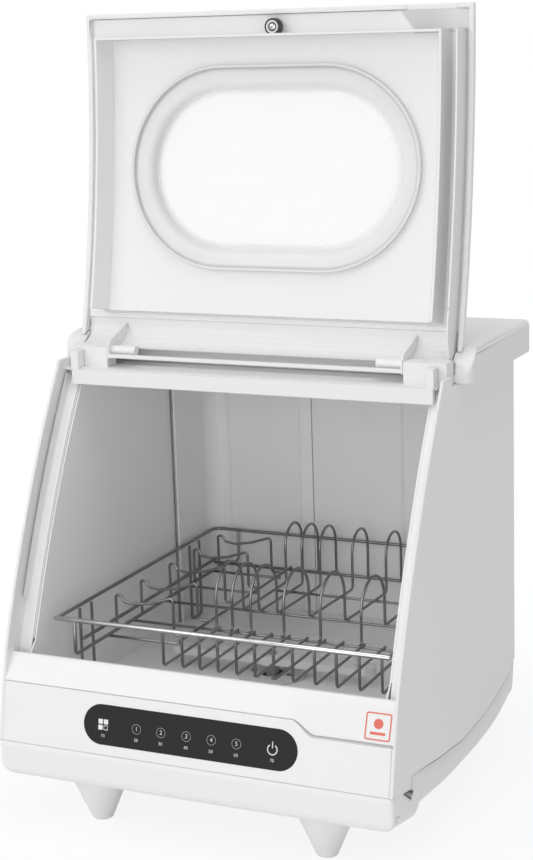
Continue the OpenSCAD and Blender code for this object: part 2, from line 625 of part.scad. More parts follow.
module lid_liner() color("white") place()
  difference() {
    union() {
      opened() difference() {
        union() {
          swept(f_high, f_low) translate([-flange_hw, arc_r - flange_depth]) square([2 * flange_hw, flange_depth + floor_r - arc_r]);
          swept(f_high - 0.3, a_low - end_a - 0.02)
            translate([-hw + rim_w + 0.1, floor_r]) square([2 * (hw - rim_w) - 0.2, 1.6]);
          swept(f_high + 0.6, f_low) translate([rib_x, arc_r - rib_depth]) square([2, rib_depth + floor_r + 0.5 - arc_r]);
        }
        swept(f_high - 1, f_low - 0.12) polygon([[-flange_hw + 2.4, arc_r - flange_depth - 1], [-176.4, floor_in],
          [176.4, floor_in], [flange_hw - 2.4, arc_r - flange_depth - 1]]);
        window_cut(win_hw - ring_w + fit, win_hh - ring_w + fit);
        difference() {
          swept(f_high + 0.25, f_low - 0.25) translate([-172, floor_in + 2]) square([344, 12]);
          window_cut(win_hw + 3, win_hh + 3);
        }
      }
      side(-in_hw + 2, in_hw - 2) shelf_profile();
      both() side(159.4, 161.4) rib_profile();
      side(rib_x, rib_x + 2) rib_tip();
      side(-159.4, 159.4) translate([hinge_y - 8.6, hinge_z - 7.2]) square([2.4, 4]);
    }
    cover_clear();
    both() along_x(150, hinge_y, hinge_z) cylinder(r = pin_r, h = 20);
  }
// Side profiles given as distances from the hinge line in the opened pose.
rib_x = 200.2;
rib_depth = 22.5;
shelf_z = 27.8;
shelf_in = [[34.8, shelf_z], [34.3, 20], [32.3, 15], [28.6, 9.4], [22.8, 5.1], [17.3, 2.9], [11.4, 2]];
shelf_out = [[11.6, -0.2], [17.8, 0.7], [23.9, 3], [30.4, 7.8], [34.4, 14], [36.5, 19.6], [37, shelf_z], [35.2, 33], [33.6, 33], [33, shelf_z]];
module shelf_profile() translate([hinge_y, hinge_z]) polygon(concat(shelf_in, shelf_out));
module rib_profile() translate([hinge_y, hinge_z])
  polygon(concat([[-0.5, -8.2], [-8.6, -8.2], [-8.6, 5], [-4, 10.5], [36, 23]], [for (i = [2:6]) shelf_in[i]], [[8, -2], [4.5, -6.5]]));
module rib_tip() translate([hinge_y, hinge_z])
  polygon(concat([[15, 56], [9.5, 50], [5.5, 30], [7, 16.6], [11.7, 5.2]], [for (i = [5:-1:0]) shelf_in[i]], [[35.2, 33], [38, 56]]));
// Vertical cut through the lid's panel at the window, square to the chord of the lid.
win_a = (a_low + a_high) / 2 + 0.47;
module at_window(r) translate([win_x, pol(r, win_a)[0], pol(r, win_a)[1]]) rotate([win_a - 180, 0, 0]) rotate([90, 0, 0]) children();
module window_cut(a, b) at_window(arc_r - 30) linear_extrude(60) stadium(a, b);
// Part of the curved layer between radius r0 and r1 that lies inside the window's outline.
module window_layer(a, b, r0, r1)
  intersection() {
    window_cut(a, b);
    swept(f_high, f_low) translate([-win_hw - 10, r0]) square([2 * win_hw + 20, r1 - r0]);
  }
module lid_window() color([0.9, 0.95, 0.97, 0.5]) place() opened() {
  window_layer(win_hw - ring_w, win_hh - ring_w, floor_in - 1.5, floor_in + 1.5);
  window_layer(win_hw - ring_w, win_hh - ring_w, r_out - lid_skin, r_out - 0.4);
}
module window_ring() color("silver") place() opened()
  difference() {
    window_layer(win_hw, win_hh, floor_in - ring_h, floor_in);
    window_cut(win_hw - ring_w, win_hh - ring_w);
  }
module lid_magnet() color("silver") place()
  along_y(win_x, 236.5, 687.4) cylinder(r = 8, h = 8.2);
module hinge_pins() color("white") place()
  both() along_x(132, hinge_y, hinge_z) cylinder(r = pin_r, h = 48.5);

// ---- basket ----
module basket_frame() color("dimgray") place() {
  wires([[-rim_hw, basket_y0 + 4, rim_z], [-rim_hw, basket_y1 - 6, rim_z], [-rim_hw + 6, basket_y1, rim_z],
    [rim_hw - 6, basket_y1, rim_z], [rim_hw, basket_y1 - 6, rim_z], [rim_hw, basket_y0 + 4, rim_z]], rim_r);
  wire([-rim_hw - 1, basket_y0, rim_z], [rim_hw + 1, basket_y0, rim_z], 2.6);
  both() wire([rim_hw, basket_y0, rim_z], [rim_hw, basket_y0 + 5, rim_z], rim_r);
}
riser_x = [-59, -38, -19, 1, 21, 41, 61, 81, 104, 126.5, 150, 173];
row_z = floor_z - 2 * wire_r + 0.2;
row_y = [197, 269, 424];
// Cross rows as [y, x from, x to, radius].
rows = [[144, -162, -77, wire_r], [row_y[0], -162, 175, wire_r], [row_y[1], -162, 175, wire_r], [328, -162, -77, wire_r],
  [345, -62, 175, wire_r], [390, -162, -77, wire_r], [row_y[2], -rim_hw + 3, rim_hw - 4, rim_r]];
module basket_floor() color("dimgray") place() {
  for (x = riser_x) wires([[x, basket_y0, rim_z - 1.5], [x, basket_y0, floor_z], [x, row_y[0], floor_z]], wire_r);
  for (q = rows) wire([q[1], q[0], row_z], [q[2], q[0], row_z], q[3]);
  for (x = [-150, 150]) wires([[x, row_y[2], row_z + 1], [x, basket_y1, row_z + 6], [x, basket_y1, rim_z - 1.5]], wire_r);
}
// Plate arch in a Y-Z plane from y0 to y1 with its top at z1.
module arch(x, y0, y1, z1) {
  h = (y1 - y0) / 2;
  wire([x, y0, floor_z], [x, y0, z1 - h], wire_r);
  wire([x, y1, floor_z], [x, y1, z1 - h], wire_r);
  translate([x, y0 + h, z1 - h]) rotate([90, 0, 90]) rotate_extrude(angle = 180) translate([h, 0]) circle(r = wire_r, $fn = 16);
}
plate_f = [-62, -43.5, -22, 15.5, 56.5, 101.5];
plate_r = [-60, -40, -18, 21, 61, 101.5];
module plate_rack_front() color("dimgray") place()
  for (x = plate_f) {
    arch(x, row_y[0], 262, 133.5);
    wire([x, row_y[0] - 8, floor_z], [x, row_y[0] + 1, floor_z], wire_r);
  }
module plate_rack_rear() color("dimgray") place()
  for (i = [0:5]) {
    arch(plate_r[i], 370, 416, 134);
    wire([plate_f[i], 264, floor_z], [plate_r[i], 371, floor_z], wire_r - 0.1);
  }
rail_y = [158, 213, 279, 338, 400];
module cup_rails() color("dimgray") place() {
  for (y = rail_y)
    wires([[-159.5, y, floor_z], [-159.5, y, rim_z + 1], [-153.5, y, rim_z - 1], [-144, y, rim_z - 6], [-134, y, rim_z - 7],
      [-118, y, rim_z - 5], [-92, y, rim_z + 4.5], [-92, y, floor_z + 0.6], [-77, y, floor_z + 0.6]], wire_r);
  wires([[-159.5, basket_y0, rim_z - 1.5], [-159.5, basket_y0, floor_z], [-159.5, row_y[2] + 1, floor_z]], rim_r);
  wire([-rim_hw + 6.4, 112, floor_z + 3], [-rim_hw + 6.4, row_y[2] - 1, floor_z + 3], rim_r);
  wire([-79, 142, floor_z], [-79, row_y[2] + 1, floor_z], wire_r + 0.1);
}
module leg(x, y)
  wires([[x, y, rim_z - 1.5], [x, y, tub_floor + 2.2], [x, y + 24, tub_floor + 2.2], [x, y + 24, rim_z - 1.5]], 1.6);
module basket_legs() color("dimgray") place()
  both() for (y = [113, 361]) leg(rim_hw - 3, y);

body_shell();
rear_housing();
top_cover();
front_fascia();
control_panel();
control_board();
base_pan();
feet();
foot_pads();
tub();
tub_frame();
sill_seal();
sump();
filter_cup();
filter_ring();
spray_post();
spray_arm();
wash_volute();
wash_motor();
wash_impeller();
wash_pipe();
drain_pump();
drain_rotor();
drain_pipe();
drain_spigot();
inlet_valve();
inlet_pipe();
inlet_port();
cord_gland();
heater();
float_guide();
float();
float_switch();
lid_switch();
fan_housing();
fan_rotor();
rear_vent();
case_screws();
lid_shell();
lid_liner();
lid_window();
window_ring();
lid_magnet();
hinge_pins();
basket_frame();
basket_floor();
plate_rack_front();
plate_rack_rear();
cup_rails();
basket_legs();
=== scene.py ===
"""Dresses the countertop dishwasher: finishes, bent wires, base pan, fascia, panel marks and studio.

Lengths are millimetres from the front edge of the seam between casing and base pan, unless a
comment says metres. at() turns such a place into the frame's metres.
"""
import json
from math import atan2, cos, pi, radians, sin, tan

import bmesh
import bpy
from mathutils import Matrix, Vector


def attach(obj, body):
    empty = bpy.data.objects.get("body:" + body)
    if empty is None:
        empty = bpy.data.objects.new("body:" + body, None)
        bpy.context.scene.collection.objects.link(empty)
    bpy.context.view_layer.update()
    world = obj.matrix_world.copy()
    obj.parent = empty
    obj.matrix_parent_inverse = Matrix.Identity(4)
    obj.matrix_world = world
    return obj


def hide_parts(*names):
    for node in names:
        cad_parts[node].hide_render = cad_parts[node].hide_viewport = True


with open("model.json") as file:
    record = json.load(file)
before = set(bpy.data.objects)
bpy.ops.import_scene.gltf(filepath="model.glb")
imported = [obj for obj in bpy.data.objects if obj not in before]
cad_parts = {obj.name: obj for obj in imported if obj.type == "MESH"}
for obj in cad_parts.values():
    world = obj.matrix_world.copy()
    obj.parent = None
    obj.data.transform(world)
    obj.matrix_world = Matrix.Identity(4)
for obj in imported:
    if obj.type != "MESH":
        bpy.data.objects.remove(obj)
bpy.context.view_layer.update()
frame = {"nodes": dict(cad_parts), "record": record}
nodes = frame["nodes"]

# ---------------------------------------------------------------- places
SEAM = Vector((0.0, -0.231, 0.0885))  # front edge of the seam, in metres
HALF = 210  # half the casing's width


def at(x, y, z):
    """A point given in millimetres from the front seam."""
    return SEAM + Vector((x, y, z)) / 1000


# ---------------------------------------------------------------- objects
def linked(name, data):
    """A new object in the scene for a mesh, curve, lamp or camera."""
    made = bpy.data.objects.new(name, data)
    bpy.context.scene.collection.objects.link(made)
    return made


def plain_mesh(source):
    """The mesh of an object with all its modifiers applied."""
    seen = bpy.context.evaluated_depsgraph_get()
    return bpy.data.meshes.new_from_object(source.evaluated_get(seen), depsgraph=seen)


# ---------------------------------------------------------------- camera
EYE = (796.8, -1488.1, 697.1)
YAW, PITCH, ROLL = 25.23, 12.40, 1.85  # degrees
SENSOR = 36  # width of the camera's sensor
FOCAL_PX, LONG_SIDE_PX = 1889.0, 860  # focal length and longer side of the picture, in pixels


def make_camera():
    yaw, pitch, roll = radians(YAW), radians(PITCH), radians(ROLL)
    ahead = Vector((-sin(yaw) * cos(pitch), cos(yaw) * cos(pitch), -sin(pitch)))
    level = Vector((cos(yaw), sin(yaw), 0))
    down = ahead.cross(level)
    right = cos(roll) * level + sin(roll) * down
    below = -sin(roll) * level + cos(roll) * down
    data = bpy.data.cameras.new("camera")
    data.sensor_width = SENSOR
    data.sensor_fit = "AUTO"
    data.lens = SENSOR * FOCAL_PX / LONG_SIDE_PX
    data.clip_start = 0.05
    camera = linked("camera", data)
    turn = Matrix((right, -below, -ahead)).transposed().to_4x4()
    camera.matrix_world = Matrix.Translation(at(*EYE)) @ turn
    bpy.context.scene.camera = camera


make_camera()


# ---------------------------------------------------------------- shader maths
class Socket:
    """A socket of a finish, on which Python's operators add Math nodes."""

    def __init__(self, finish, link):
        self.finish, self.link = finish, link

    def math(self, operation, first, second=0.0):
        return self.finish.node("ShaderNodeMath", {"operation": operation}, [first, second])

    def __add__(self, other): return self.math("ADD", self, other)
    def __radd__(self, other): return self.math("ADD", other, self)
    def __sub__(self, other): return self.math("SUBTRACT", self, other)
    def __rsub__(self, other): return self.math("SUBTRACT", other, self)
    def __mul__(self, other): return self.math("MULTIPLY", self, other)
    def __rmul__(self, other): return self.math("MULTIPLY", other, self)
    def __gt__(self, other): return self.math("GREATER_THAN", self, other)
    def __lt__(self, other): return self.math("LESS_THAN", self, other)
    def __pow__(self, other): return self.math("POWER", self, other)
    def __rpow__(self, other): return self.math("POWER", other, self)
    def __abs__(self): return self.math("ABSOLUTE", self)

    def clamp(self):
        return self.finish.node("ShaderNodeClamp", {}, [self])


class Finish:
    """One procedural material, read from Object coordinates in metres."""

    def __init__(self, name):
        self.material = bpy.data.materials.new(name)
        self.material.use_nodes = True
        self.tree = self.material.node_tree
        self.tree.nodes.clear()
        self.output = self.tree.nodes.new("ShaderNodeOutputMaterial")
        self.shader = self.tree.nodes.new("ShaderNodeBsdfPrincipled")
        self.tree.links.new(self.shader.outputs[0], self.output.inputs[0])
        self.place = self.node("ShaderNodeTexCoord", {}, [], "Object")

    def put(self, socket, value):
        if isinstance(value, Socket):
            self.tree.links.new(value.link, socket)
        else:
            socket.default_value = value

    def node(self, kind, settings, inputs, outlet=0):
        """Adds any node: its settings by name, then its inputs by number or by name."""
        made = self.tree.nodes.new(kind)
        for name, value in settings.items():
            setattr(made, name, value)
        pairs = inputs.items() if isinstance(inputs, dict) else enumerate(inputs)
        for name, value in pairs:
            self.put(made.inputs[name], value)
        return Socket(self, made.outputs[outlet])

    def set(self, **values):
        for name, value in values.items():
            self.put(self.shader.inputs[name.replace("_", " ")], value)

    def noise(self, scale, detail):
        return self.node("ShaderNodeTexNoise", {}, {"Vector": self.place, "Scale": scale, "Detail": detail})

    def mix(self, factor, first, second):
        """Mixes two colours."""
        made = self.tree.nodes.new("ShaderNodeMix")
        made.data_type = "RGBA"
        for index, value in ((0, factor), (6, first), (7, second)):
            self.put(made.inputs[index], value)
        return Socket(self, made.outputs[2])

    def ease(self, value, low, high, at_low, at_high):
        """Goes smoothly from at_low to at_high while the value goes from low to high."""
        return self.node("ShaderNodeMapRange", {"interpolation_type": "SMOOTHSTEP"},
                         [value, low, high, at_low, at_high])

    def along(self, place, axis):
        """One coordinate of a place."""
        return self.node("ShaderNodeSeparateXYZ", {}, [place], axis)

    def bump(self, height, strength, distance, easing=0.0):
        """Bumps the surface; sharp edges are eased by the radius easing, in metres."""
        sockets = {"Height": height, "Strength": strength, "Distance": distance}
        if easing:
            sockets["Normal"] = self.node("ShaderNodeBevel", {"samples": 4}, {"Radius": easing})
        return self.node("ShaderNodeBump", {}, sockets)


# ---------------------------------------------------------------- finishes
WARMTH = 0.004
CLOUD, SPECK, GRAIN, PEEL = 7, 900, 1400, 160  # scales of the noises in moulded plastic
GRAIN_DEPTH, EASING = 0.0004, 0.0012  # metres
PLASTIC_SHEEN = 0.45


def grey(value, warm=0.0):
    return (value * (1 + warm), value, value * (1 - warm), 1)


def grained(f, peel, easing):
    """Fine grain and faint orange peel."""
    return f.bump(f.noise(GRAIN, 3) * 0.6 + f.noise(PEEL, 2) * 0.4, peel, GRAIN_DEPTH, easing)


def moulded(name, tone, rough, peel=0.12, easing=EASING):
    """Injection-moulded plastic: slight cloudiness, fine grain and faint orange peel."""
    f = Finish(name)
    cloud = f.noise(CLOUD, 3)
    speck = f.noise(SPECK, 2)
    tint = f.mix(cloud, grey(tone * 0.985, WARMTH), grey(tone * 1.012, -WARMTH))
    f.set(Base_Color=f.mix(speck * 0.12, tint, grey(tone * 0.93, WARMTH)))
    f.set(Roughness=rough + (cloud - 0.5) * 0.08 + (speck - 0.5) * 0.06)
    f.set(Normal=grained(f, peel, easing), Specular_IOR_Level=PLASTIC_SHEEN)
    return f.material


def drawn_wire(name, tone, rough):
    """Plated wire: fine streaks, and darker where the plating is thin."""
    f = Finish(name)
    patch = f.noise(60, 4)
    streak = f.noise(500, 3)
    f.set(Base_Color=f.mix((patch * 1.4 - 0.2).clamp(), grey(tone * 0.7, 0.01), grey(tone, WARMTH)))
    f.set(Metallic=1.0, Roughness=rough + patch * 0.12 + (streak - 0.5) * 0.06)
    f.set(Normal=f.bump(streak, 0.06, 0.0003))
    return f.material


# The window across the open lid: its middle, its lean, and half its width and height in metres
WINDOW = at(4, 229.5, 547.1)
WINDOW_LEAN = radians(-7.07)
PANE_HW, PANE_HH = 0.155, 0.099
# How far in from the pane's edge, in metres, its grey band and the line of painted shade at the foot of the
# ring reach
BAND_FROM, BAND_TO, PAINTED_SHADE_LINE_TO = 0.012, 0.027, 0.004
CLEAR_ALPHA, BAND_ALPHA = 0.06, 0.72


def window_pane():
    """Clear pane, slightly milky, with a soft grey band along its edge where it meets the ring, and a thin
    line of painted shade right at that edge.
    """
    f = Finish("window_pane")
    flat = f.node("ShaderNodeMapping", {"vector_type": "TEXTURE"},
                  {"Vector": f.place, "Location": tuple(WINDOW), "Rotation": (WINDOW_LEAN, 0, 0)})
    across, up = f.along(flat, "X"), f.along(flat, "Z")
    past = abs(across) - (PANE_HW - PANE_HH)
    past = past * (past > 0.0)
    inward = PANE_HH - (past * past + up * up) ** 0.5
    band = f.ease(inward, BAND_FROM, BAND_TO, 1.0, 0.0)
    line = f.ease(inward, 0.0, PAINTED_SHADE_LINE_TO, 1.0, 0.0)
    haze = f.noise(30, 3)
    milky = f.mix(haze, (0.86, 0.865, 0.87, 1), (0.89, 0.893, 0.895, 1))
    # painted shade: the pane darkens towards grey at its edge, at the foot of the ring
    f.set(Base_Color=f.mix(line * 0.5, milky, (0.42, 0.44, 0.45, 1)))
    f.set(Alpha=CLEAR_ALPHA + haze * 0.04 + band * BAND_ALPHA)
    f.set(Roughness=0.08 + haze * 0.08, Specular_IOR_Level=0.5)
    f.set(Normal=f.bump(f.noise(25, 2), 0.01, 0.001))
    return f.material


# Painted shade for the finger dip near one corner of the lid's inner face, which has no shape of its own:
# it begins along a slanting line through (DIP_X, DIP_Z), fades towards the corner, and lies between two
# heights and two depths
DIP_X, DIP_Z, DIP_SLANT, DIP_SOFT = 132, 698, 0.78, 3.0
DIP_FADE_FROM, DIP_FADE_TO, DIP_LEFT_OVER = 158.0, 204.0, 0.45
DIP_LOW, DIP_HIGH, DIP_FRONT, DIP_BACK = 675.0, 704.0, 238.0, 251.5
# grey of the painted shade in the dip's hollow
DIP_PAINTED_SHADE_TONE = 0.5832


def lid_dip_white():
    """The lid's white, greyer where shade is painted into the hollow of the finger dip, which has no shape
    of its own.
    """
    f = Finish("lid_dip_white")
    local = f.node("ShaderNodeMapping", {"vector_type": "TEXTURE"},
                   {"Vector": f.place, "Location": tuple(at(0, 0, 0))})
    across, back, up = (f.along(local, axis) * 1000 for axis in "XYZ")
    begun = f.ease(across - DIP_X - (DIP_Z - up) * DIP_SLANT, 0.0, DIP_SOFT, 0.0, 1.0)
    ended = f.ease(across, DIP_FADE_FROM, DIP_FADE_TO, 1.0, DIP_LEFT_OVER)
    inside = (up > DIP_LOW) * (up < DIP_HIGH) * (back < DIP_BACK) * (back > DIP_FRONT)
    cloud = f.noise(CLOUD, 3)
    plain = f.mix(cloud, grey(0.80), grey(0.82))
    # painted shade: the dip's mask greys the white
    f.set(Base_Color=f.mix(begun * ended * inside, plain, grey(DIP_PAINTED_SHADE_TONE)))
    f.set(Roughness=0.36 + cloud * 0.05, Specular_IOR_Level=PLASTIC_SHEEN)
    f.set(Normal=grained(f, 0.12, EASING))
    return f.material


def panel_black():
    """Dark touch glass with a little dust on it."""
    f = Finish("touch_panel")
    dust = f.noise(1200, 2)
    f.set(Base_Color=f.mix((dust - 0.62) * 3, grey(0.006), grey(0.02)))
    f.set(Roughness=0.28 + f.noise(14, 3) * 0.1, Specular_IOR_Level=0.35)
    f.set(Normal=f.bump(dust, 0.02, 0.0002))
    return f.material


def red_print():
    """Slightly worn red ink."""
    f = Finish("red_print")
    worn = f.noise(700, 3)
    f.set(Base_Color=f.mix(worn, (0.66, 0.10, 0.07, 1), (0.78, 0.20, 0.15, 1)))
    f.set(Roughness=0.45 + worn * 0.1, Normal=f.bump(worn, 0.05, 0.0002))
    return f.material


WHITE = moulded("white_casing", 0.83, 0.42)
LID_WHITE = moulded("lid_white", 0.81, 0.38)
# the lid's white with painted shade in the finger dip
LID_WHITE_PAINTED_DIP_SHADE = lid_dip_white()
RING_WHITE = moulded("ring_white", 0.72, 0.3)
COVER_WHITE = moulded("cover_white", 0.80, 0.45)
FRAME_WHITE = moulded("frame_white", 0.82, 0.4)
FASCIA_WHITE = moulded("fascia_white", 0.83, 0.42, easing=0.0003)
# painted shade: a grey for the faces of the fascia's shaped groove and step
GROOVE_PAINTED_SHADE = moulded("fascia_groove_painted_shade", 0.60, 0.5, easing=0.0)
TUB_GREY = moulded("tub_grey", 0.88, 0.4, peel=0.1)
GREY_PART = moulded("grey_part", 0.32, 0.5)
DARK_PART = moulded("dark_part", 0.04, 0.5, peel=0.2)
RUBBER = moulded("rubber_pad", 0.05, 0.75, peel=0.4)
CLEAR_PART = moulded("spray_plastic", 0.72, 0.25)
BOARD = moulded("board_green", 0.05, 0.5)
MARK = moulded("panel_print", 0.85, 0.5, peel=0.02)
DIM_MARK = moulded("panel_print_dim", 0.38, 0.5, peel=0.02)
STEEL = drawn_wire("brushed_steel", 0.6, 0.25)
WIRE = drawn_wire("basket_wire", 0.30, 0.24)
BRIGHT = drawn_wire("bright_bar", 0.62, 0.16)
GLASS = window_pane()
PANEL = panel_black()
RED = red_print()

finish_of = {
    "body_shell": WHITE, "rear_housing": WHITE, "base_pan": WHITE, "feet": WHITE, "front_fascia": WHITE,
    "top_cover": COVER_WHITE, "tub": TUB_GREY, "tub_frame": FRAME_WHITE, "hinge_pins": FRAME_WHITE,
    # the lid's liner takes the white with painted shade in the finger dip
    "lid_shell": LID_WHITE, "lid_liner": LID_WHITE_PAINTED_DIP_SHADE, "lid_window": GLASS, "window_ring": RING_WHITE,
    "lid_magnet": STEEL, "control_panel": PANEL, "control_board": BOARD, "foot_pads": RUBBER,
    "sill_seal": RUBBER, "filter_cup": STEEL, "filter_ring": CLEAR_PART, "spray_arm": CLEAR_PART,
    "spray_post": GREY_PART, "wash_motor": STEEL, "heater": STEEL, "case_screws": STEEL,
    "rear_vent": GREY_PART, "inlet_port": GREY_PART, "float": CLEAR_PART, "float_guide": GREY_PART,
}
for name, part in nodes.items():
    part.data.materials.clear()
    part.data.materials.append(finish_of.get(name, DARK_PART))


# ---------------------------------------------------------------- mesh pieces
def piece(name, mesh_maker, finish, body, smooth=True, replaces=()):
    """Makes one piece from a function that fills its mesh, and attaches it to its body."""
    shape = bmesh.new()
    mesh_maker(shape)
    data = bpy.data.meshes.new(name)
    shape.to_mesh(data)
    shape.free()
    data.materials.append(finish)
    if smooth:
        data.shade_smooth()
    made = linked(name, data)
    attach(made, body)
    if replaces:
        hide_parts(*replaces)
    return made


def full_turn(count):
    """Equal steps of angle all the way round."""
    return [2 * pi * k / count for k in range(count)]


def strip(shape, first, second, around=True):
    """Joins two rows of points with faces, all the way round or from end to end."""
    count = len(first)
    for k in range(count if around else count - 1):
        n = (k + 1) % count
        shape.faces.new((first[k], first[n], second[n], second[k]))


# ---------------------------------------------------------------- wires
BEND_ROOM = 0.48  # share of a straight run that the bend at one of its ends may take
BEND_STEP, STRAIGHT = radians(15), 0.02
DOME_LENGTH, DOME_SHARE = 0.7, 0.45  # a wire's rounded tip, as shares of its radius
WIRE_SIDES = 10


def rounded_path(points, radius):
    """A bent wire's centre line: straight runs with a round bend at every inner point."""
    path = [points[0]]
    for before, here, after in zip(points, points[1:], points[2:]):
        back, on = before - here, after - here
        room = min(back.length, on.length) * BEND_ROOM
        back.normalize()
        on.normalize()
        angle = back.angle(on)
        if angle > pi - STRAIGHT:
            path.append(here)
            continue
        reach = min(radius / tan(angle / 2), room)
        bend = reach * tan(angle / 2)
        centre = here + (back + on).normalized() * (bend / sin(angle / 2))
        start, end = here + back * reach - centre, here + on * reach - centre
        sweep = start.angle(end)
        steps = max(2, int((pi - angle) / BEND_STEP))
        for k in range(steps + 1):
            t = k / steps
            path.append(centre + (start * sin((1 - t) * sweep) + end * sin(t * sweep)) / sin(sweep))
    return path + [points[-1]]


def tube(shape, path, radius, sides=WIRE_SIDES):
    """Sweeps a round section along a path and closes its ends with small domes."""
    last = len(path) - 1
    side = (path[1] - path[0]).normalized().orthogonal().normalized()
    rings = []
    for i, centre in enumerate(path):
        along = (path[min(i + 1, last)] - path[max(i - 1, 0)]).normalized()
        side = (side - along * side.dot(along)).normalized()
        other = along.cross(side)
        spots = [(centre, 1.0)]
        if i == 0:
            spots.insert(0, (centre - along * radius * DOME_LENGTH, DOME_SHARE))
        if i == last:
            spots.append((centre + along * radius * DOME_LENGTH, DOME_SHARE))
        for spot, share in spots:
            rings.append([shape.verts.new(spot + (side * cos(t) + other * sin(t)) * radius * share)
                          for t in full_turn(sides)])
    for first, second in zip(rings, rings[1:]):
        strip(shape, first, second)
    shape.faces.new(list(reversed(rings[0])))
    shape.faces.new(rings[-1])


def bent(shape, points, radius, bend=4.0, sides=WIRE_SIDES):
    """Adds a bent wire through points given in millimetres."""
    tube(shape, rounded_path([at(*p) for p in points], bend / 1000), radius / 1000, sides)


def wire_tree():
    """Geometry Nodes: one bent wire swept along a path and set down at every point."""
    tree = bpy.data.node_groups.new("repeated_wire", "GeometryNodeTree")
    for label, way, kind in (
            ("Points", "INPUT", "Geometry"), ("Path", "INPUT", "Object"), ("Radius", "INPUT", "Float"),
            ("Sides", "INPUT", "Int"), ("Finish", "INPUT", "Material"), ("Wires", "OUTPUT", "Geometry")):
        tree.interface.new_socket(label, in_out=way, socket_type="NodeSocket" + kind)
    kinds = {
        "given": "NodeGroupInput", "path": "GeometryNodeObjectInfo",
        "ring": "GeometryNodeCurvePrimitiveCircle", "sweep": "GeometryNodeCurveToMesh",
        "repeat": "GeometryNodeInstanceOnPoints", "real": "GeometryNodeRealizeInstances",
        "smooth": "GeometryNodeSetShadeSmooth", "finish": "GeometryNodeSetMaterial",
        "result": "NodeGroupOutput",
    }
    n = {key: tree.nodes.new(kind) for key, kind in kinds.items()}
    n["sweep"].inputs["Fill Caps"].default_value = True
    for source, outlet, target, inlet in (
            ("given", "Path", "path", "Object"), ("given", "Radius", "ring", "Radius"),
            ("given", "Sides", "ring", "Resolution"), ("path", "Geometry", "sweep", "Curve"),
            ("ring", "Curve", "sweep", "Profile Curve"), ("given", "Points", "repeat", "Points"),
            ("sweep", "Mesh", "repeat", "Instance"), ("repeat", "Instances", "real", "Geometry"),
            ("real", "Geometry", "smooth", "Geometry"), ("smooth", "Geometry", "finish", "Geometry"),
            ("given", "Finish", "finish", "Material"), ("finish", "Geometry", "result", "Wires")):
        tree.links.new(n[source].outputs[outlet], n[target].inputs[inlet])
    return tree


WIRE_TREE = wire_tree()


def wire_path(name, points, bend):
    """A curve object along the centre line of a bent wire."""
    curve = bpy.data.curves.new(name + "_path", "CURVE")
    curve.dimensions = "3D"
    path = rounded_path([at(*p) for p in points], bend / 1000)
    line = curve.splines.new("POLY")
    line.points.add(len(path) - 1)
    for spot, place in zip(line.points, path):
        spot.co = (*place, 1)
    return linked(name + "_path", curve)


def repeated_wire(name, points, offsets, radius, bend=4.0, replaces=()):
    """The same bent wire of the basket at each offset, as one plain mesh."""
    guide = wire_path(name, points, bend)
    dots = bpy.data.meshes.new(name + "_dots")
    dots.from_pydata([tuple(c / 1000 for c in offset) for offset in offsets], [], [])
    carrier = linked(name + "_dots", dots)
    repeat = carrier.modifiers.new("wires", "NODES")
    repeat.node_group = WIRE_TREE
    values = {"Path": guide, "Radius": radius / 1000, "Sides": WIRE_SIDES, "Finish": WIRE}
    for item in WIRE_TREE.interface.items_tree:
        if item.in_out == "INPUT" and item.name in values:
            repeat[item.identifier] = values[item.name]
    data = plain_mesh(carrier)
    for spare in (carrier, guide):
        bpy.data.objects.remove(spare)
    made = linked(name, data)
    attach(made, "basket")
    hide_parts(*replaces)


# ---------------------------------------------------------------- basket
RISER_R, LEG_R, RUNNER_R, RIM_R, BAR_R = 1.5, 1.6, 1.6, 1.9, 2.6  # wire radii
RIM_Z, RIM_HW, FRONT_Y, BACK_Y = 107.5, 180, 72.5, 433
FLOOR_Z, ROW_Z = 71, 68.2
FRONT_ROW, MIDDLE_ROW, LAST_ROW, HOOK_X = 197, 269, 424, 150
RISERS = (-59, -38, -19, 1, 21, 41, 61, 81, 104, 126.5, 150, 173)
# The cups' side of the floor and the plates' side, from left to right
CUPS_LEFT, CUPS_RIGHT, PLATES_LEFT, PLATES_RIGHT = -162, -77, -62, 175
FLOOR_ROWS = ((144, CUPS_LEFT, CUPS_RIGHT), (FRONT_ROW, CUPS_LEFT, PLATES_RIGHT),
              (MIDDLE_ROW, CUPS_LEFT, PLATES_RIGHT), (328, CUPS_LEFT, CUPS_RIGHT),
              (345, PLATES_LEFT, PLATES_RIGHT), (390, CUPS_LEFT, CUPS_RIGHT))
# Plate arches: where each starts, ends and tops out, and how high their feet stand
FRONT_ARCHES = (-62, -43.5, -22, 15.5, 56.5, 101.5)
REAR_ARCHES = (-60, -40, -18, 21, 61, 101.5)
FRONT_ARCH_END, FRONT_ARCH_TOP, FRONT_FOOT = 262, 133.5, 95
REAR_ARCH_START, REAR_ARCH_END, REAR_ARCH_TOP, REAR_FOOT = 370, 416, 134, 105
ARCH_STEPS = 12
# Cup rails: their places from front to back, the rack's runners and where two of these begin
CUP_RAILS = (158, 213, 279, 338, 400)
RACK_X, RACK_INNER_X, RAIL_RISE_X = -159.5, -79, -92
OUTER_FROM, INNER_FROM = 112, 142
# Leg loops: their places, their depth from front to back, and the height they stand at
LEG_ROWS, LEG_X, LEG_DEPTH, LEG_Z = (113, 361), RIM_HW - 3, 24, 17.2


def basket_rim(shape):
    start, w = FRONT_Y + 3, RIM_HW
    bent(shape, [(-w, start, RIM_Z), (-w, BACK_Y, RIM_Z), (w, BACK_Y, RIM_Z), (w, start, RIM_Z)], RIM_R, 9)


def front_bar(shape):
    bent(shape, [(-RIM_HW - 1, FRONT_Y, RIM_Z), (RIM_HW + 1, FRONT_Y, RIM_Z)], BAR_R, sides=14)


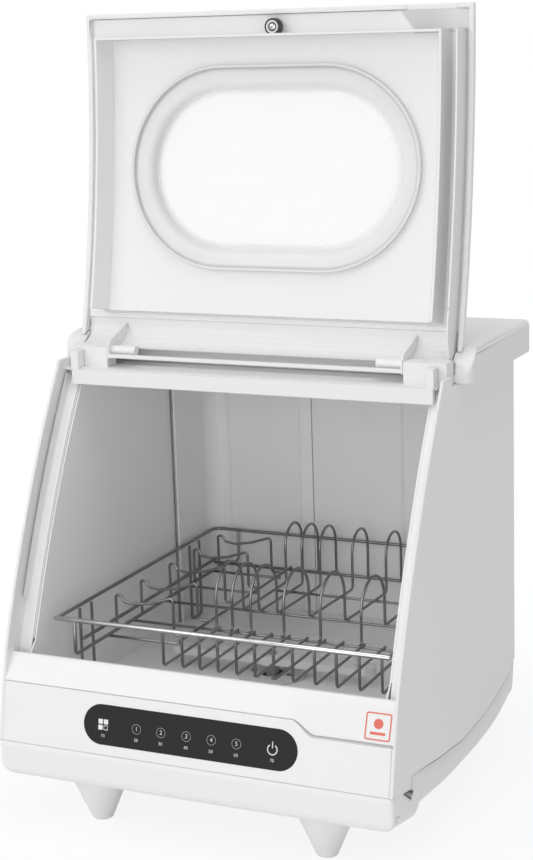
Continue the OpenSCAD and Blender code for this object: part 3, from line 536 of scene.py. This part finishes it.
def floor_rows(shape):
    """Cross wires of the floor, and the last one with its two hooks up to the rim."""
    for y, left, right in FLOOR_ROWS:
        bent(shape, [(left, y, ROW_Z), (right, y, ROW_Z)], RISER_R)
    bent(shape, [(-RIM_HW + 3, LAST_ROW, ROW_Z), (RIM_HW - 4, LAST_ROW, ROW_Z)], RIM_R)
    for x in (-HOOK_X, HOOK_X):
        hook = [(x, LAST_ROW, ROW_Z + 1), (x, BACK_Y, ROW_Z + 6), (x, BACK_Y, RIM_Z - 1.5)]
        bent(shape, hook, RISER_R, 3)


def arch_line(x, start, end, top):
    """A half circle over the floor from start to end."""
    half = (end - start) / 2
    turns = [k * pi / ARCH_STEPS for k in range(ARCH_STEPS + 1)]
    return [at(x, start + half - half * cos(t), top - half + half * sin(t)) for t in turns]


def plate_arches(shape):
    """Each wire makes the front arch, runs back along the floor and makes the rear arch."""
    for a, b in zip(FRONT_ARCHES, REAR_ARCHES):
        lead = rounded_path([at(a, FRONT_ROW - 8, FLOOR_Z), at(a, FRONT_ROW, FLOOR_Z),
                             at(a, FRONT_ROW, FRONT_FOOT)], 0.004)
        run = rounded_path([at(a, FRONT_ARCH_END, FRONT_FOOT), at(a, FRONT_ARCH_END, FLOOR_Z),
                            at(b, REAR_ARCH_START, FLOOR_Z), at(b, REAR_ARCH_START, REAR_FOOT)], 0.005)
        tail = [at(b, REAR_ARCH_END, REAR_FOOT), at(b, REAR_ARCH_END, FLOOR_Z)]
        front = arch_line(a, FRONT_ROW, FRONT_ARCH_END, FRONT_ARCH_TOP)
        rear = arch_line(b, REAR_ARCH_START, REAR_ARCH_END, REAR_ARCH_TOP)
        tube(shape, lead + front + run + rear + tail, RISER_R / 1000)


def rack_wires(shape):
    """Three runners under the cup rails, from front to back."""
    outer, end = -RIM_HW + 6.4, LAST_ROW + 1
    front = [(RACK_X, FRONT_Y, RIM_Z - 2), (RACK_X, FRONT_Y, FLOOR_Z), (RACK_X, end, FLOOR_Z)]
    bent(shape, front, RIM_R, 5)
    bent(shape, [(outer, OUTER_FROM, FLOOR_Z + 3), (outer, LAST_ROW - 1, FLOOR_Z + 3)], RIM_R)
    bent(shape, [(RACK_INNER_X, INNER_FROM, FLOOR_Z), (RACK_INNER_X, end, FLOOR_Z)], RUNNER_R)


piece("basket_rim", basket_rim, WIRE, "basket", replaces=["basket_frame"])
piece("basket_front_bar", front_bar, BRIGHT, "basket", replaces=["basket_frame"])
piece("basket_floor_rows", floor_rows, WIRE, "basket", replaces=["basket_floor"])
repeated_wire("basket_risers",
              [(0, FRONT_Y, RIM_Z - 2), (0, FRONT_Y, FLOOR_Z), (0, FRONT_ROW + 1.5, FLOOR_Z)],
              [(x, 0, 0) for x in RISERS], RISER_R, replaces=["basket_floor"])
piece("plate_arches", plate_arches, WIRE, "basket",
      replaces=["plate_rack_front", "plate_rack_rear"])
repeated_wire("cup_rails_bent",
              [(RACK_X, 0, FLOOR_Z), (RACK_X, 0, RIM_Z + 1.5), (-153, 0, RIM_Z + 1), (-150, 0, RIM_Z - 5),
               (-138, 0, RIM_Z - 7), (-118, 0, RIM_Z - 4), (RAIL_RISE_X, 0, RIM_Z + 4.5),
               (RAIL_RISE_X, 0, FLOOR_Z + 0.6), (CUPS_RIGHT, 0, FLOOR_Z + 0.6)],
              [(0, y, 0) for y in CUP_RAILS], RISER_R, 3.2, replaces=["cup_rails"])
piece("cup_rack_wires", rack_wires, WIRE, "basket", replaces=["cup_rails"])
repeated_wire("basket_leg_loops",
              [(0, 0, RIM_Z - 2), (0, 0, LEG_Z), (0, LEG_DEPTH, LEG_Z), (0, LEG_DEPTH, RIM_Z - 2)],
              [(x, y, 0) for x in (-LEG_X, LEG_X) for y in LEG_ROWS], LEG_R, 5, replaces=["basket_legs"])


# ---------------------------------------------------------------- eased solids
MERGE, EASE_STEPS = 2e-5, 3  # in metres, and rows of faces round an eased edge
FLAT, EDGE = radians(0.6), radians(35)  # faces under the one angle merge, over the other an edge shows


def body_of(name):
    for body, members in frame["record"]["behaviour"]["bodies"].items():
        if name in members:
            return body


def eased_copy(name, finish, width, sharp_below=None):
    """A merged copy of a plain solid with eased edges, shown in its place.

    Edges in front of and under the point sharp_below (back, up) stay sharp.
    """
    shape = bmesh.new()
    shape.from_mesh(nodes[name].data)
    bmesh.ops.remove_doubles(shape, verts=shape.verts, dist=MERGE)
    bmesh.ops.dissolve_limit(shape, angle_limit=FLAT, verts=shape.verts, edges=shape.edges)
    weight = shape.edges.layers.float.new("bevel_weight_edge")
    limit = at(0, *sharp_below) if sharp_below else None
    for edge in shape.edges:
        middle = (edge.verts[0].co + edge.verts[1].co) / 2
        kept = limit is not None and middle.y < limit.y and middle.z < limit.z
        if len(edge.link_faces) == 2 and edge.calc_face_angle() > EDGE and not kept:
            edge[weight] = 1.0
    data = bpy.data.meshes.new(name + "_eased")
    shape.to_mesh(data)
    shape.free()
    data.materials.clear()
    data.materials.append(finish)
    data.shade_smooth()
    made = linked(name + "_eased", data)
    bevel = made.modifiers.new("eased", "BEVEL")
    bevel.width, bevel.segments, bevel.limit_method = width / 1000, EASE_STEPS, "WEIGHT"
    bevel.use_clamp_overlap = False
    bevel.miter_outer = "MITER_ARC"
    made.modifiers.new("even", "WEIGHTED_NORMAL").keep_sharp = True
    made.data = plain_mesh(made)
    made.modifiers.clear()
    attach(made, body_of(name))
    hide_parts(name)


# ---------------------------------------------------------------- base pan
SEAM_LINE = ((47, -9.5), (48, 3.5), (123.5, -8.1), (190, -15.1), (249.5, -13.7), (295, -8.1), (343, 2.2))
WALL_ROLL, KEEL_ROLL = 4, 16  # radius of the pan's edges at its front wall and along its keel
LOBE_Y, LOBE_Z, LOBE_R = 13, -26, 12  # the rounded lobe under the front
RING_STEPS = 7
# The keel from the lobe back to a short rise, along the bottom, and up the rear wall
LOBE_BACK = ((11.3, -37.9), (28, -41.2), (45, -44.2))
RISE_Y, RISE_Z, RISE_R = 60, -37, 10
BOTTOM = ((70.4, -39.9), (74, -39.8), (95, -41.2), (118, -43), (150, -45.4), (200, -46.2), (250, -45.6),
          (287, -43), (317, -38), (340, -31.5))
REAR = ((349, -28), (355.5, -20), (359.5, -5), (362.5, 15.5))
PAN_WALL, PAN_COLUMNS = 2.2, 24


def smooth_line(points, steps):
    """A smooth curve through the points."""
    last = len(points) - 1
    fine = []
    for i in range(last):
        a, b, c, d = (Vector(points[max(0, min(last, k))]) for k in (i - 1, i, i + 1, i + 2))
        for k in range(steps):
            t = k / steps
            bow, twist = 2 * a - 5 * b + 4 * c - d, 3 * b - a - 3 * c + d
            fine.append(0.5 * (2 * b + (c - a) * t + bow * t * t + twist * t ** 3))
    return fine + [Vector(points[-1])]


def ring_part(y, z, r, start, end):
    """Part of a circle, seen from the side, between two angles in degrees."""
    turns = [radians(start + (end - start) * k / RING_STEPS) for k in range(RING_STEPS + 1)]
    return [(y + r * cos(t), z + r * sin(t)) for t in turns]


def pan_keel():
    """The pan's middle line from front to back.

    Each point comes with the way, and how far, the pan is rolled up from it at both sides.
    """
    keel = [((k * 0.25, -0.3 - k * 6.4), (WALL_ROLL, 0)) for k in range(5)]
    for k, spot in enumerate(ring_part(LOBE_Y, LOBE_Z, LOBE_R, 180, 262)):
        share = k / RING_STEPS
        side = Vector((5 + 7 * share ** 1.5, LOBE_Z + 4.5 * share ** 2))
        keel.append((spot, tuple(side - Vector(spot))))
    rise = [Vector(p) for p in ring_part(RISE_Y, RISE_Z, RISE_R, 280, 340)]
    for spot in smooth_line(LOBE_BACK, 3)[1:] + rise + smooth_line(BOTTOM, 3)[1:]:
        keel.append((tuple(spot), (0, KEEL_ROLL)))
    for k, spot in enumerate(smooth_line(REAR, 2)):
        keel.append((tuple(spot), (-min(4.0, k * 1.4), KEEL_ROLL * max(0, 1 - k / 3))))
    return keel


def pan_skin(shape):
    """Base pan: a smooth keel line from front to back, rolled up at both sides to a flat wall."""
    across = [-1 + 2 * k / PAN_COLUMNS for k in range(PAN_COLUMNS + 1)]
    turns = [radians(a) for a in (90, 75, 60, 45, 30, 15)]
    rows = []
    for (y, z), (roll_y, roll_z) in pan_keel():
        reach = max(WALL_ROLL, (roll_y * roll_y + roll_z * roll_z) ** 0.5)
        left = [(-HALF + reach * (1 - sin(t)), 1 - cos(t)) for t in turns]
        flat = [(a * (HALF - reach), 0) for a in across]
        right = [(-x, off) for x, off in reversed(left)]
        rows.append([shape.verts.new(at(x, y + roll_y * off, z + roll_z * off))
                     for x, off in left + flat + right])
    for first, second in zip(rows, rows[1:]):
        strip(shape, first, second, around=False)
    for column, x in ((0, -HALF), (-1, HALF)):
        edge = [row[column] for row in rows]
        seam = [shape.verts.new(at(x, y, z)) for y, z in SEAM_LINE]
        shape.faces.new(edge + list(reversed(seam)))
    bmesh.ops.triangulate(shape, faces=[f for f in shape.faces if len(f.verts) > 4])
    bmesh.ops.recalc_face_normals(shape, faces=shape.faces)


def walled(made, thickness):
    """Gives an open skin its wall, inwards."""
    wall = made.modifiers.new("wall", "SOLIDIFY")
    wall.thickness, wall.offset, wall.use_even_offset = thickness / 1000, -1, False
    made.data = plain_mesh(made)
    made.modifiers.clear()


pan = piece("pan_skin", pan_skin, WHITE, "cabinet", replaces=["base_pan"])
pan.data.set_sharp_from_angle(angle=radians(32))
walled(pan, PAN_WALL)
eased_copy("body_shell", WHITE, 1.7, sharp_below=(60, 7))  # its lower front corners stay sharp
eased_copy("top_cover", COVER_WHITE, 1.2)
eased_copy("feet", WHITE, 0.8)
eased_copy("lid_shell", LID_WHITE, 1.0)


# ---------------------------------------------------------------- front
# The fascia's lower face leans back up to an edge, which drops in an S from the bend to the
# finger ledge; the slope and the finger recess above it end at the sill
BEND_Y, BEND_Z, SILL_Y, SILL_Z = 11.9, 58.2, 28.4, 83
LEDGE_Y, LEDGE_Z = 14.1, 44.5
FACE_RUN = BEND_Y / BEND_Z
STEP_X, STEP_W, FOLD_LEAD, FOLD_W = 105, 24, 5, 36
GROOVE, EDGE_ROUND, FOOT_GAP = 1.1, 0.4, 0.3
LIP_D, LIP_H = 3.6, 11  # the sill's lip, turned down into the tub
FASCIA_HW = max(v.co.x for v in nodes["front_fascia"].data.vertices) * 1000
CHEEK_R = 1.5
# Places across the front where the fascia's section is taken, closest together at the step
SECTIONS = ([-FASCIA_HW, -150, -75, 0, 60, 90] + [98 + 1.5 * k for k in range(34)]
            + [165, 185, FASCIA_HW])
UPPER_STEPS = 10
GROOVE_PAINTED_SHADE_ROWS = (7, 8)  # rows of faces in the groove, counted up along the section, which take the painted shade


def eased_share(t):
    t = max(0.0, min(1.0, t))
    return t * t * (3 - 2 * t)


def edge_height(x):
    return BEND_Z - (BEND_Z - LEDGE_Z) * eased_share((x - STEP_X) / STEP_W)


def above_edge(x, z):
    """Set-back of the fascia above its edge, with a soft fold from the slope into the recess."""
    slope = max(z * FACE_RUN, BEND_Y + (z - BEND_Z) * (SILL_Y - BEND_Y) / (SILL_Z - BEND_Z))
    recess = LEDGE_Y + (z - LEDGE_Z) * (SILL_Y - LEDGE_Y) / (SILL_Z - LEDGE_Z)
    return slope + (recess - slope) * eased_share((x - STEP_X + FOLD_LEAD) / FOLD_W)


def fascia_line(x):
    """Section of the fascia at one place across the front, as (back, up) points."""
    edge = edge_height(x)
    heights = [edge * share for share in (0.2, 0.4, 0.6, 0.8)]
    face = [(z * FACE_RUN, z) for z in [FOOT_GAP] + heights + [edge - 1.5, edge - EDGE_ROUND]]
    groove = [(edge * FACE_RUN + EDGE_ROUND, edge), (above_edge(x, edge) + GROOVE, edge + 0.05)]
    low, high = edge + GROOVE, SILL_Z - 0.8
    heights = [low + (high - low) * k / UPPER_STEPS for k in range(UPPER_STEPS + 1)]
    upper = [(above_edge(x, z), z) for z in heights]
    sill = [(SILL_Y + 0.5, SILL_Z), (SILL_Y + LIP_D, SILL_Z), (SILL_Y + LIP_D, SILL_Z - LIP_H)]
    inside = [(SILL_Y + 1.2, SILL_Z - LIP_H), (LEDGE_Y + 3, LEDGE_Z), (3.2, FOOT_GAP)]
    return face + groove + upper + sill + inside


def swept_across(shape, columns, second=()):
    """A closed solid through equal sections, each given as (x, [(back, up), ...]).

    Rows of faces whose numbers are in second take the second material.
    """
    rows = [[shape.verts.new(at(x, y, z)) for y, z in line] for x, line in columns]
    for a, b in zip(rows, rows[1:]):
        for k in range(len(a)):
            n = (k + 1) % len(a)
            shape.faces.new((a[k], a[n], b[n], b[k])).material_index = int(k in second)
    shape.faces.new(rows[0])
    shape.faces.new(list(reversed(rows[-1])))
    bmesh.ops.triangulate(shape, faces=[f for f in shape.faces if len(f.verts) > 4])
    bmesh.ops.recalc_face_normals(shape, faces=shape.faces)


def fascia_skin(shape):
    swept_across(shape, [(x, fascia_line(x)) for x in SECTIONS], second=GROOVE_PAINTED_SHADE_ROWS)


def cheek_line(edge, set_back):
    """Section of the lower face's end, set back from the front as its corner turns."""
    face = [(z * FACE_RUN + set_back, z) for z in (FOOT_GAP, edge * 0.5, edge - EDGE_ROUND)]
    top = [(edge * FACE_RUN + EDGE_ROUND + set_back, edge), (edge * FACE_RUN + 4.5, edge)]
    return face + top + [(4.5, FOOT_GAP)]


def face_cheek(side):
    """The lower face's end, rounded over the casing's front edge at one side."""
    def make(shape):
        edge, centre = edge_height(side * FASCIA_HW), HALF - 0.1 - CHEEK_R
        corner = [(centre + CHEEK_R * sin(radians(a)), CHEEK_R - CHEEK_R * cos(radians(a)))
                  for a in range(0, 91, 15)]
        swept_across(shape, [(side * x, cheek_line(edge, set_back))
                             for x, set_back in [(FASCIA_HW - 0.5, 0)] + corner])
    return make


for label, maker in (("fascia_skin", fascia_skin), ("face_cheek_left", face_cheek(-1)),
                     ("face_cheek_right", face_cheek(1))):
    made = piece(label, maker, FASCIA_WHITE, "cabinet", replaces=["front_fascia"])
    # the second material is painted shade in the shaped groove and on the step's wall
    made.data.materials.append(GROOVE_PAINTED_SHADE)
    made.data.set_sharp_from_angle(angle=radians(28))


# ---------------------------------------------------------------- tub
TUB_BACK, TUB_LOW, TUB_HIGH = 440.2, 16, 331
BEADS, BEAD_HW, BEAD_D = (-161.5, 55), 1.5, 1.1


def tub_ribs(shape):
    """Upright ribs pressed into the tub's back wall: one wide wedge and two thin beads."""
    wedge = [(-70.5, TUB_BACK), (-69, TUB_BACK - 3.4), (-67.8, TUB_BACK - 4), (-55, TUB_BACK - 0.2),
             (-54, TUB_BACK)]
    turns = [radians(t) for t in range(180, -1, -30)]
    beads = [[(x + BEAD_HW * cos(t), TUB_BACK - BEAD_D * sin(t)) for t in turns] for x in BEADS]
    for outline in [wedge] + beads:
        foot = [shape.verts.new(at(x, y, TUB_LOW)) for x, y in outline]
        head = [shape.verts.new(at(x, y, TUB_HIGH)) for x, y in outline]
        strip(shape, foot, head)
        shape.faces.new(list(reversed(foot)))
        shape.faces.new(head)
    bmesh.ops.recalc_face_normals(shape, faces=shape.faces)


ribs = piece("tub_back_ribs", tub_ribs, TUB_GREY, "cabinet")
ribs.data.set_sharp_from_angle(angle=EDGE)


# ---------------------------------------------------------------- panel marks
FACE_TILT = atan2(BEND_Y, BEND_Z)
RECESS_TILT = atan2(SILL_Y - LEDGE_Y, SILL_Z - LEDGE_Z)
MARK_Z, UNDER_Z = 29.9, 19.1  # heights of the icons and of the small numbers, up along the face
ICONS = (-55.8, -29.2, -1.9, 24.7, 51.1)
MENU_X, POWER_X, RED_X, RED_Z = -92.4, 88.3, 189.2, 16.6
LOW, HIGH = 0.15, 0.32  # how far a mark's back and front stand off the panel's surface
RED_LOW, RED_HIGH = 0.1, 0.3
CIRCLE_SIDES, CORNER_TURN = 40, 18  # sides of a round mark, and degrees between a corner's points
RING_R, RING_HOLE = 4.9, 4.4
POWER_R, POWER_HOLE = 5.4, 4.3
ARC_START, ARC_END, ARC_STEPS = 125, 415, 35  # the power mark's open ring, in degrees
MENU_GAP = 2.9  # half the distance between the squares of the menu mark
ICON_NUMBER, UNDER_NUMBER = 6.0, 4.4  # heights of the numbers in the rings and under the icons
NUMBER_OUT, NUMBER_DEPTH = 0.24, 0.08  # the numbers' middle above the surface, and half their depth


def on_face(x, up, out):
    """A point on the lower face, up along it and out from it."""
    return at(x, up * sin(FACE_TILT) - out * cos(FACE_TILT), up * cos(FACE_TILT) + out * sin(FACE_TILT))


def on_slope(x, up, out):
    """A point on the slope of the finger recess, up along it and out from it."""
    tilt = RECESS_TILT
    return at(x, LEDGE_Y + up * sin(tilt) - out * cos(tilt), LEDGE_Z + up * cos(tilt) + out * sin(tilt))


def plate(shape, outline, place, low, high):
    """A thin plate from a closed outline of (x, up) points."""
    bottom = [shape.verts.new(place(x, u, low)) for x, u in outline]
    top = [shape.verts.new(place(x, u, high)) for x, u in outline]
    shape.faces.new(list(reversed(bottom)))
    shape.faces.new(top)
    strip(shape, bottom, top)


def band(shape, outer, inner, place, low, high):
    """A closed band between two outlines of as many points."""
    loops = [[shape.verts.new(place(x, u, h)) for x, u in line] for line, h in
             ((outer, low), (outer, high), (inner, high), (inner, low))]
    for first, second in zip(loops, loops[1:] + loops[:1]):
        strip(shape, first, second)


def circle(x, u, r):
    return [(x + r * cos(t), u + r * sin(t)) for t in full_turn(CIRCLE_SIDES)]


def power_arc(r):
    """The power mark's open ring at one radius, both ends included."""
    first, last = radians(ARC_START), radians(ARC_END)
    turns = [first + (last - first) * k / ARC_STEPS for k in range(ARC_STEPS + 1)]
    return [(POWER_X + r * cos(t), MARK_Z - 0.4 + r * sin(t)) for t in turns]


def box_outline(x, u, w, h, r):
    """A rounded box of half width w and half height h."""
    spots = []
    for side, top, start in ((1, 1, 0), (-1, 1, 90), (-1, -1, 180), (1, -1, 270)):
        for turn in range(0, 91, CORNER_TURN):
            t = radians(start + turn)
            spots.append((x + side * (w - r) + r * cos(t), u + top * (h - r) + r * sin(t)))
    return spots


def menu_mark(shape):
    """Three filled squares and an open one."""
    for side, top in ((-1, 1), (1, 1), (-1, -1)):
        square = box_outline(MENU_X + side * MENU_GAP, MARK_Z + top * MENU_GAP, 2.4, 2.4, 0.4)
        plate(shape, square, on_face, LOW, HIGH)
    x, up = MENU_X + MENU_GAP, MARK_Z - MENU_GAP
    band(shape, box_outline(x, up, 2.3, 2.3, 0.4), box_outline(x, up, 1.7, 1.7, 0.3), on_face, LOW, HIGH)


def power_mark(shape):
    """An open ring with an upright stroke in its gap."""
    plate(shape, power_arc(POWER_R) + list(reversed(power_arc(POWER_HOLE))), on_face, LOW, HIGH)
    plate(shape, box_outline(POWER_X, MARK_Z + 4.0, 0.55, 3.2, 0.3), on_face, LOW, HIGH)


def ring_marks(shape):
    for x in ICONS:
        band(shape, circle(x, MARK_Z, RING_R), circle(x, MARK_Z, RING_HOLE), on_face, LOW, HIGH)


def red_mark(shape):
    """Red rounded square with a plain disc over a bar."""
    outer, inner = box_outline(RED_X, RED_Z, 12.6, 12.6, 2.2), box_outline(RED_X, RED_Z, 11.4, 11.4, 1.4)
    band(shape, outer, inner, on_slope, RED_LOW, RED_HIGH)
    plate(shape, circle(RED_X, RED_Z + 2.5, 4.6), on_slope, RED_LOW, RED_HIGH)
    plate(shape, box_outline(RED_X, RED_Z - 6.4, 7.6, 1.2, 0.6), on_slope, RED_LOW, RED_HIGH)


def add_digit(shape, text, x, up, height):
    """Adds a number, middle at (x, up) on the lower face, as thin raised print."""
    curve = bpy.data.curves.new("digit", "FONT")
    curve.body, curve.size, curve.extrude = text, height, NUMBER_DEPTH
    curve.align_x, curve.align_y = "CENTER", "CENTER"
    holder = linked("digit", curve)
    flat = plain_mesh(holder)
    for vertex in flat.vertices:
        vertex.co = on_face(x + vertex.co.x, up + vertex.co.y, NUMBER_OUT + vertex.co.z)
    shape.from_mesh(flat)
    bpy.data.objects.remove(holder)


def panel_digits(shape):
    """Plain numbers in the rings and a smaller row under all the icons."""
    for number, x in enumerate(ICONS, 1):
        add_digit(shape, str(number), x, MARK_Z, ICON_NUMBER)
    for number, x in enumerate((MENU_X,) + ICONS + (POWER_X,), 1):
        add_digit(shape, str(number * 10), x, UNDER_Z, UNDER_NUMBER)


piece("menu_mark", menu_mark, MARK, "cabinet", smooth=False)
piece("power_mark", power_mark, MARK, "cabinet", smooth=False)
piece("ring_marks", ring_marks, DIM_MARK, "cabinet", smooth=False)
piece("panel_digits", panel_digits, MARK, "cabinet", smooth=False)
piece("recess_mark", red_mark, RED, "cabinet", smooth=False)


# ---------------------------------------------------------------- lid's catch
CATCH = at(4, 244.7, 685.2)
# Each round part of the catch, as (radius, height) steps outwards from the lid's inner face
CUP = ((8.2, 0), (8.2, 7.4), (7.9, 8.0), (7.5, 8.2), (7.0, 8.0), (6.9, 6.0), (6.8, 5.6))
RING = ((6.5, 5.0), (6.5, 7.6), (6.2, 8.2), (5.6, 8.4), (4.9, 8.2), (4.6, 7.6), (4.5, 5.8))
SCREW = ((3.6, 5.4), (3.6, 6.4), (3.0, 7.2), (1.2, 7.6), (1.0, 6.6), (0.4, 6.5))
BACKING = ((8.35, 5.2), (8.35, 6.2), (4.4, 6.2), (4.4, 5.9))


def turned(profile, sides=36):
    """A round part on the lid's catch, turned from its profile."""
    def make(shape):
        rings = [[shape.verts.new(CATCH + Vector((r * cos(t), -out, r * sin(t))) / 1000)
                  for t in full_turn(sides)] for r, out in profile]
        for first, second in zip(rings, rings[1:]):
            strip(shape, first, second)
        shape.faces.new(rings[-1])
        shape.faces.new(list(reversed(rings[0])))
        bmesh.ops.recalc_face_normals(shape, faces=shape.faces)
    return make


for name, maker, finish, slot in (
        ("catch_cup", turned(CUP), DARK_PART, "steel"),
        ("catch_ring", turned(RING), LID_WHITE, "white_abs"),
        ("catch_screw", turned(SCREW, 18), STEEL, "steel"),
        ("catch_groove", turned(BACKING), DARK_PART, "steel")):
    made = piece(name, maker, finish, "lid", replaces=["lid_magnet"])
    made.data.set_sharp_from_angle(angle=radians(40))


# ---------------------------------------------------------------- studio
BACKGROUND, SOFT_LIGHT = 1.0, 0.5  # what the camera and shiny parts see, and what lights the object
FLOOR_HALF = 12  # metres
# The floor takes shadows near the object and fades into the background between these distances
SHADOW_FROM, SHADOW_TO, SHADOW_SHARE = 0.2, 0.7, 0.86
WHITE_LIGHT = (1, 1, 1, 1)


def studio():
    """Plain white surroundings, brighter for the camera than as light on the object."""
    scene = bpy.context.scene
    scene.view_settings.view_transform = "Standard"
    world = bpy.data.worlds.new("studio")
    scene.world = world
    world.use_nodes = True
    tree = world.node_tree
    tree.nodes.clear()
    out = tree.nodes.new("ShaderNodeOutputWorld")
    seen, soft = tree.nodes.new("ShaderNodeBackground"), tree.nodes.new("ShaderNodeBackground")
    for node, strength in ((seen, BACKGROUND), (soft, SOFT_LIGHT)):
        node.inputs[0].default_value, node.inputs[1].default_value = WHITE_LIGHT, strength
    rays = tree.nodes.new("ShaderNodeLightPath")
    top, both = tree.nodes.new("ShaderNodeMath"), tree.nodes.new("ShaderNodeMath")
    top.operation = both.operation = "MAXIMUM"
    mix = tree.nodes.new("ShaderNodeMixShader")
    tree.links.new(rays.outputs["Is Camera Ray"], top.inputs[0])
    tree.links.new(rays.outputs["Is Glossy Ray"], top.inputs[1])
    tree.links.new(top.outputs[0], both.inputs[0])
    tree.links.new(rays.outputs["Is Transmission Ray"], both.inputs[1])
    tree.links.new(both.outputs[0], mix.inputs[0])
    tree.links.new(soft.outputs[0], mix.inputs[1])
    tree.links.new(seen.outputs[0], mix.inputs[2])
    tree.links.new(mix.outputs[0], out.inputs[0])


def lamp(name, place, target, power, size):
    """A square soft lamp; places and size in metres, power in watts."""
    data = bpy.data.lights.new(name, "AREA")
    data.energy, data.shape, data.size = power, "SQUARE", size
    made = linked(name, data)
    made.location = place
    made.rotation_euler = (Vector(target) - Vector(place)).to_track_quat("-Z", "Y").to_euler()


def floor():
    """Pale floor that keeps the object's shadow and merges into the background."""
    f = Finish("studio_floor")
    f.set(Base_Color=f.mix(f.noise(3, 2), grey(0.9), grey(0.92)), Roughness=0.9)
    glow = f.tree.nodes.new("ShaderNodeEmission")
    glow.inputs[0].default_value, glow.inputs[1].default_value = WHITE_LIGHT, BACKGROUND
    direct = f.node("ShaderNodeLightPath", {}, [], "Is Camera Ray")
    mirrored = f.node("ShaderNodeLightPath", {}, [], "Is Glossy Ray")
    away = f.node("ShaderNodeVectorMath", {"operation": "LENGTH"}, [f.place], "Value")
    fade = f.ease(away, SHADOW_FROM, SHADOW_TO, SHADOW_SHARE, 1.0)
    blend = f.tree.nodes.new("ShaderNodeMixShader")
    f.put(blend.inputs[0], (direct + mirrored).clamp() * fade)
    f.tree.links.new(f.shader.outputs[0], blend.inputs[1])
    f.tree.links.new(glow.outputs[0], blend.inputs[2])
    f.tree.links.new(blend.outputs[0], f.output.inputs[0])
    data = bpy.data.meshes.new("studio_floor")
    h = FLOOR_HALF
    data.from_pydata([(-h, -h, 0), (h, -h, 0), (h, h, 0), (-h, h, 0)], [], [(0, 1, 2, 3)])
    data.materials.append(f.material)
    made = linked("studio_floor", data)


studio()
lamp("key_left", (-2.0, -2.6, 2.3), (0, 0, 0.4), 30, 2.0)
lamp("top_fill", (0.3, -0.4, 3.2), (0, 0, 0.3), 25, 2.0)
lamp("front_soft", (0.5, -3.0, 0.75), (0, 0.2, 0.28), 18, 1.4)
floor()
